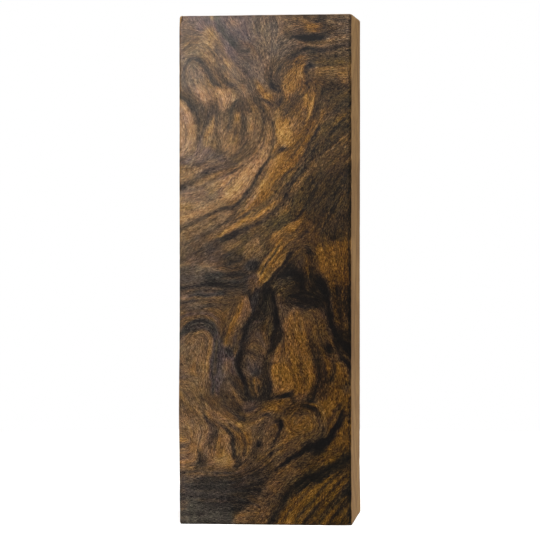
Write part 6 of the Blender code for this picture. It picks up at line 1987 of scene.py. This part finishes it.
def oiled_walnut(square):
    """The broad faces: sanded, sealed and rubbed to a satin."""
    material, tree, shader = new_material("oiled_walnut")
    place = place_on_face(tree, square)
    fine = fibres(tree, place, along=0.9, across=0.12)
    pores = fibres(tree, place, along=1.6, across=0.15, detail=0.0)
    grit = speckle(tree, place, 0.13)
    tone = attribute(tree, "figure_tone")
    pale_lift = maths(tree, "MULTIPLY_ADD", tone, 0.5, 0.26)
    dark_lift = maths(tree, "MULTIPLY_ADD", tone, 2.6, 0.03)
    lift = maths(tree, "MINIMUM", pale_lift, dark_lift)
    lift = maths(tree, "MULTIPLY", lift, attribute(tree, "figure_fleck"))
    fleck = maths(tree, "ADD", maths(tree, "MULTIPLY", fine, 1.5), maths(tree, "MULTIPLY", grit, 1.5))
    tone = maths(tree, "MULTIPLY_ADD", fleck, lift, tone)
    pore = maths(tree, "MULTIPLY", maths(tree, "SUBTRACT", pores, 0.2), 5.0, clamp=True)
    tone = maths(tree, "MULTIPLY_ADD", pore, -0.03, tone)
    warmth = maths(tree, "MULTIPLY_ADD", grit, 0.5, attribute(tree, "figure_warmth"), clamp=True)
    cool = tone_ramp(tree, tone, COOL_TONES, OILED_GAIN)
    warm = tone_ramp(tree, tone, WARM_TONES, OILED_GAIN)
    colour = add_node(tree, "ShaderNodeMix", {"Factor": warmth, "A": cool, "B": warm}, data_type="RGBA")
    colour = leaned(tree, colour.outputs["Result"], attribute(tree, "figure_hue"))
    tree.links.new(colour, shader.inputs["Base Color"])
    tree.links.new(maths(tree, "MULTIPLY_ADD", grit, 0.25, 0.32), shader.inputs["Roughness"])
    shader.inputs["Specular IOR Level"].default_value = 0.10
    height = maths(tree, "ADD", maths(tree, "MULTIPLY", fine, 0.6), maths(tree, "SUBTRACT", grit, pore))
    bumped(tree, shader, height, 0.012)
    return material


SAWN_TONES = (
    (0.00, (117, 86, 51)),
    (0.15, (141, 107, 65)),
    (0.35, (160, 125, 78)),
    (0.60, (180, 143, 92)),
    (0.90, (200, 165, 113)),
)


def sawn_walnut(square):
    """The two narrow sides: dry, paler wood, sawn and roughly sanded along their length."""
    material, tree, shader = new_material("sawn_walnut")
    place = place_on_face(tree, square)
    fine = fibres(tree, place, along=4.0, across=0.22)
    bands = fibres(tree, place, along=26.0, across=1.6)
    pores = fibres(tree, place, along=2.4, across=0.16, detail=0.0)
    grit = speckle(tree, place, 0.3)
    tone = maths(tree, "MULTIPLY_ADD", fine, 0.32, attribute(tree, "figure_tone"))
    tone = maths(tree, "MULTIPLY_ADD", bands, 0.35, tone)
    tone = maths(tree, "MULTIPLY_ADD", grit, 0.22, tone)
    pore = maths(tree, "MULTIPLY", maths(tree, "SUBTRACT", pores, 0.2), 5.0, clamp=True)
    tone = maths(tree, "MULTIPLY_ADD", pore, -0.16, tone)
    tree.links.new(tone_ramp(tree, tone, SAWN_TONES, 1.0), shader.inputs["Base Color"])
    tree.links.new(maths(tree, "MULTIPLY_ADD", grit, 0.2, 0.78), shader.inputs["Roughness"])
    shader.inputs["Specular IOR Level"].default_value = 0.25
    height = maths(tree, "ADD", maths(tree, "MULTIPLY", fine, 1.2), maths(tree, "SUBTRACT", grit, pore))
    bumped(tree, shader, height, 0.03)
    return material


def end_grain_walnut(square):
    """The two sawn ends: rings in section, dotted with open pores."""
    material, tree, shader = new_material("end_grain_walnut")
    place = place_on_face(tree, square)
    grit = speckle(tree, place, 0.3, detail=2.0)
    dots = add_node(
        tree,
        "ShaderNodeTexVoronoi",
        {"Vector": place, "Scale": 1 / 0.75, "Randomness": 1.0},
        voronoi_dimensions="2D",
        feature="F1",
    )
    pore = maths(tree, "SUBTRACT", 1.0, maths(tree, "MULTIPLY", dots.outputs["Distance"], 6.5), clamp=True)
    clusters = maths(tree, "MULTIPLY_ADD", speckle(tree, place, 1.1), 3.0, 0.8, clamp=True)
    pore = maths(tree, "MULTIPLY", pore, clusters)
    cells = speckle(tree, place, 0.9)
    tone = maths(tree, "MULTIPLY_ADD", grit, 0.3, attribute(tree, "figure_tone"))
    tone = maths(tree, "MULTIPLY_ADD", cells, 0.2, tone)
    tone = maths(tree, "MULTIPLY_ADD", pore, -0.30, tone)
    tree.links.new(tone_ramp(tree, tone, SAWN_TONES, 0.62), shader.inputs["Base Color"])
    tree.links.new(maths(tree, "MULTIPLY_ADD", grit, 0.2, 0.8), shader.inputs["Roughness"])
    shader.inputs["Specular IOR Level"].default_value = 0.25
    bumped(tree, shader, maths(tree, "SUBTRACT", grit, pore), 0.05)
    return material


# The stage: a white floor, a soft high sun, two soft boxes and a white world
FLOOR_RADIUS = 0.26
FLOOR_SIDES = 96
FLOOR_SEEN = 0.86
FLOOR_BOUNCE = 0.40
FLOOR_GLOW = 0.45


def white_floor():
    """A round white floor under the block. It ends where the white world goes on."""
    mesh = bpy.data.meshes.new("floor")
    turns = np.arange(FLOOR_SIDES) * 2 * math.pi / FLOOR_SIDES
    rim = [(FLOOR_RADIUS * math.cos(turn), FLOOR_RADIUS * math.sin(turn), 0) for turn in turns]
    mesh.from_pydata(rim, [], [range(FLOOR_SIDES)])
    material, tree, shader = new_material("white_floor")
    seen = add_node(tree, "ShaderNodeLightPath").outputs["Is Camera Ray"]
    shade = maths(tree, "MULTIPLY_ADD", seen, FLOOR_SEEN - FLOOR_BOUNCE, FLOOR_BOUNCE)
    white = add_node(tree, "ShaderNodeCombineColor", {"Red": shade, "Green": shade, "Blue": shade})
    tree.links.new(white.outputs[0], shader.inputs["Base Color"])
    shader.inputs["Emission Color"].default_value = (1, 1, 1, 1)
    tree.links.new(maths(tree, "MULTIPLY", seen, FLOOR_GLOW), shader.inputs["Emission Strength"])
    shader.inputs["Roughness"].default_value = 0.9
    shader.inputs["Specular IOR Level"].default_value = 0.0
    mesh.materials.append(material)
    floor = bpy.data.objects.new("floor", mesh)
    bpy.context.scene.collection.objects.link(floor)


def aimed(place, target):
    """A matrix that stands at a place and looks at a target."""
    facing = (Vector(target) - Vector(place)).to_track_quat("-Z", "Y").to_matrix().to_4x4()
    return Matrix.Translation(place) @ facing


def add_light(name, kind, place, energy, colour=(1, 1, 1), **settings):
    data = bpy.data.lights.new(name, kind)
    data.energy = energy
    data.color = colour
    for setting, value in settings.items():
        setattr(data, setting, value)
    light = bpy.data.objects.new(name, data)
    light.matrix_world = aimed(place, CENTRE)
    light.visible_camera = False
    bpy.context.scene.collection.objects.link(light)


def add_lights():
    add_light("high_soft_sun", "SUN", (0.30, -0.95, 1.75), 3.6, angle=math.radians(25))
    add_light("left_soft_box", "AREA", (-0.066, -0.215, 0.145), 0.40, shape="SQUARE", size=0.06)
    add_light("right_fill", "AREA", (0.85, 0.05, 0.35), 4.0, shape="SQUARE", size=0.5)


WORLD_LIGHT = 0.12


def white_world():
    """White where the camera sees it, and a softer grey as a light."""
    world = bpy.data.worlds.new("white_world")
    bpy.context.scene.world = world
    world.use_nodes = True
    tree = world.node_tree
    background = tree.nodes["Background"]
    seen = add_node(tree, "ShaderNodeLightPath").outputs["Is Camera Ray"]
    brightness = maths(tree, "MULTIPLY_ADD", seen, 1 - WORLD_LIGHT, WORLD_LIGHT)
    background.inputs["Color"].default_value = (1, 1, 1, 1)
    tree.links.new(brightness, background.inputs["Strength"])


CAMERA_PLACE = Vector((70.2, -740.4, 82.7)) * MM
CAMERA_YAW = math.radians(-5.44)
CAMERA_PITCH = math.radians(-1.774)
CAMERA_LENS = 206.8
CAMERA_SENSOR = 36.0


def add_camera():
    data = bpy.data.cameras.new("camera")
    data.lens = CAMERA_LENS
    data.sensor_width = CAMERA_SENSOR
    data.clip_start = 0.05
    data.clip_end = 10
    camera = bpy.data.objects.new("camera", data)
    forward = Vector((
        math.sin(CAMERA_YAW) * math.cos(CAMERA_PITCH),
        math.cos(CAMERA_YAW) * math.cos(CAMERA_PITCH),
        math.sin(CAMERA_PITCH),
    ))
    camera.matrix_world = aimed(CAMERA_PLACE, CAMERA_PLACE + forward)
    bpy.context.scene.collection.objects.link(camera)
    bpy.context.scene.camera = camera


add_camera()
white_world()
white_floor()
add_lights()
bpy.context.scene.view_settings.view_transform = "Standard"

block = walnut_surface(painted_figure())
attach(block, "root")
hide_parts("walnut_block")
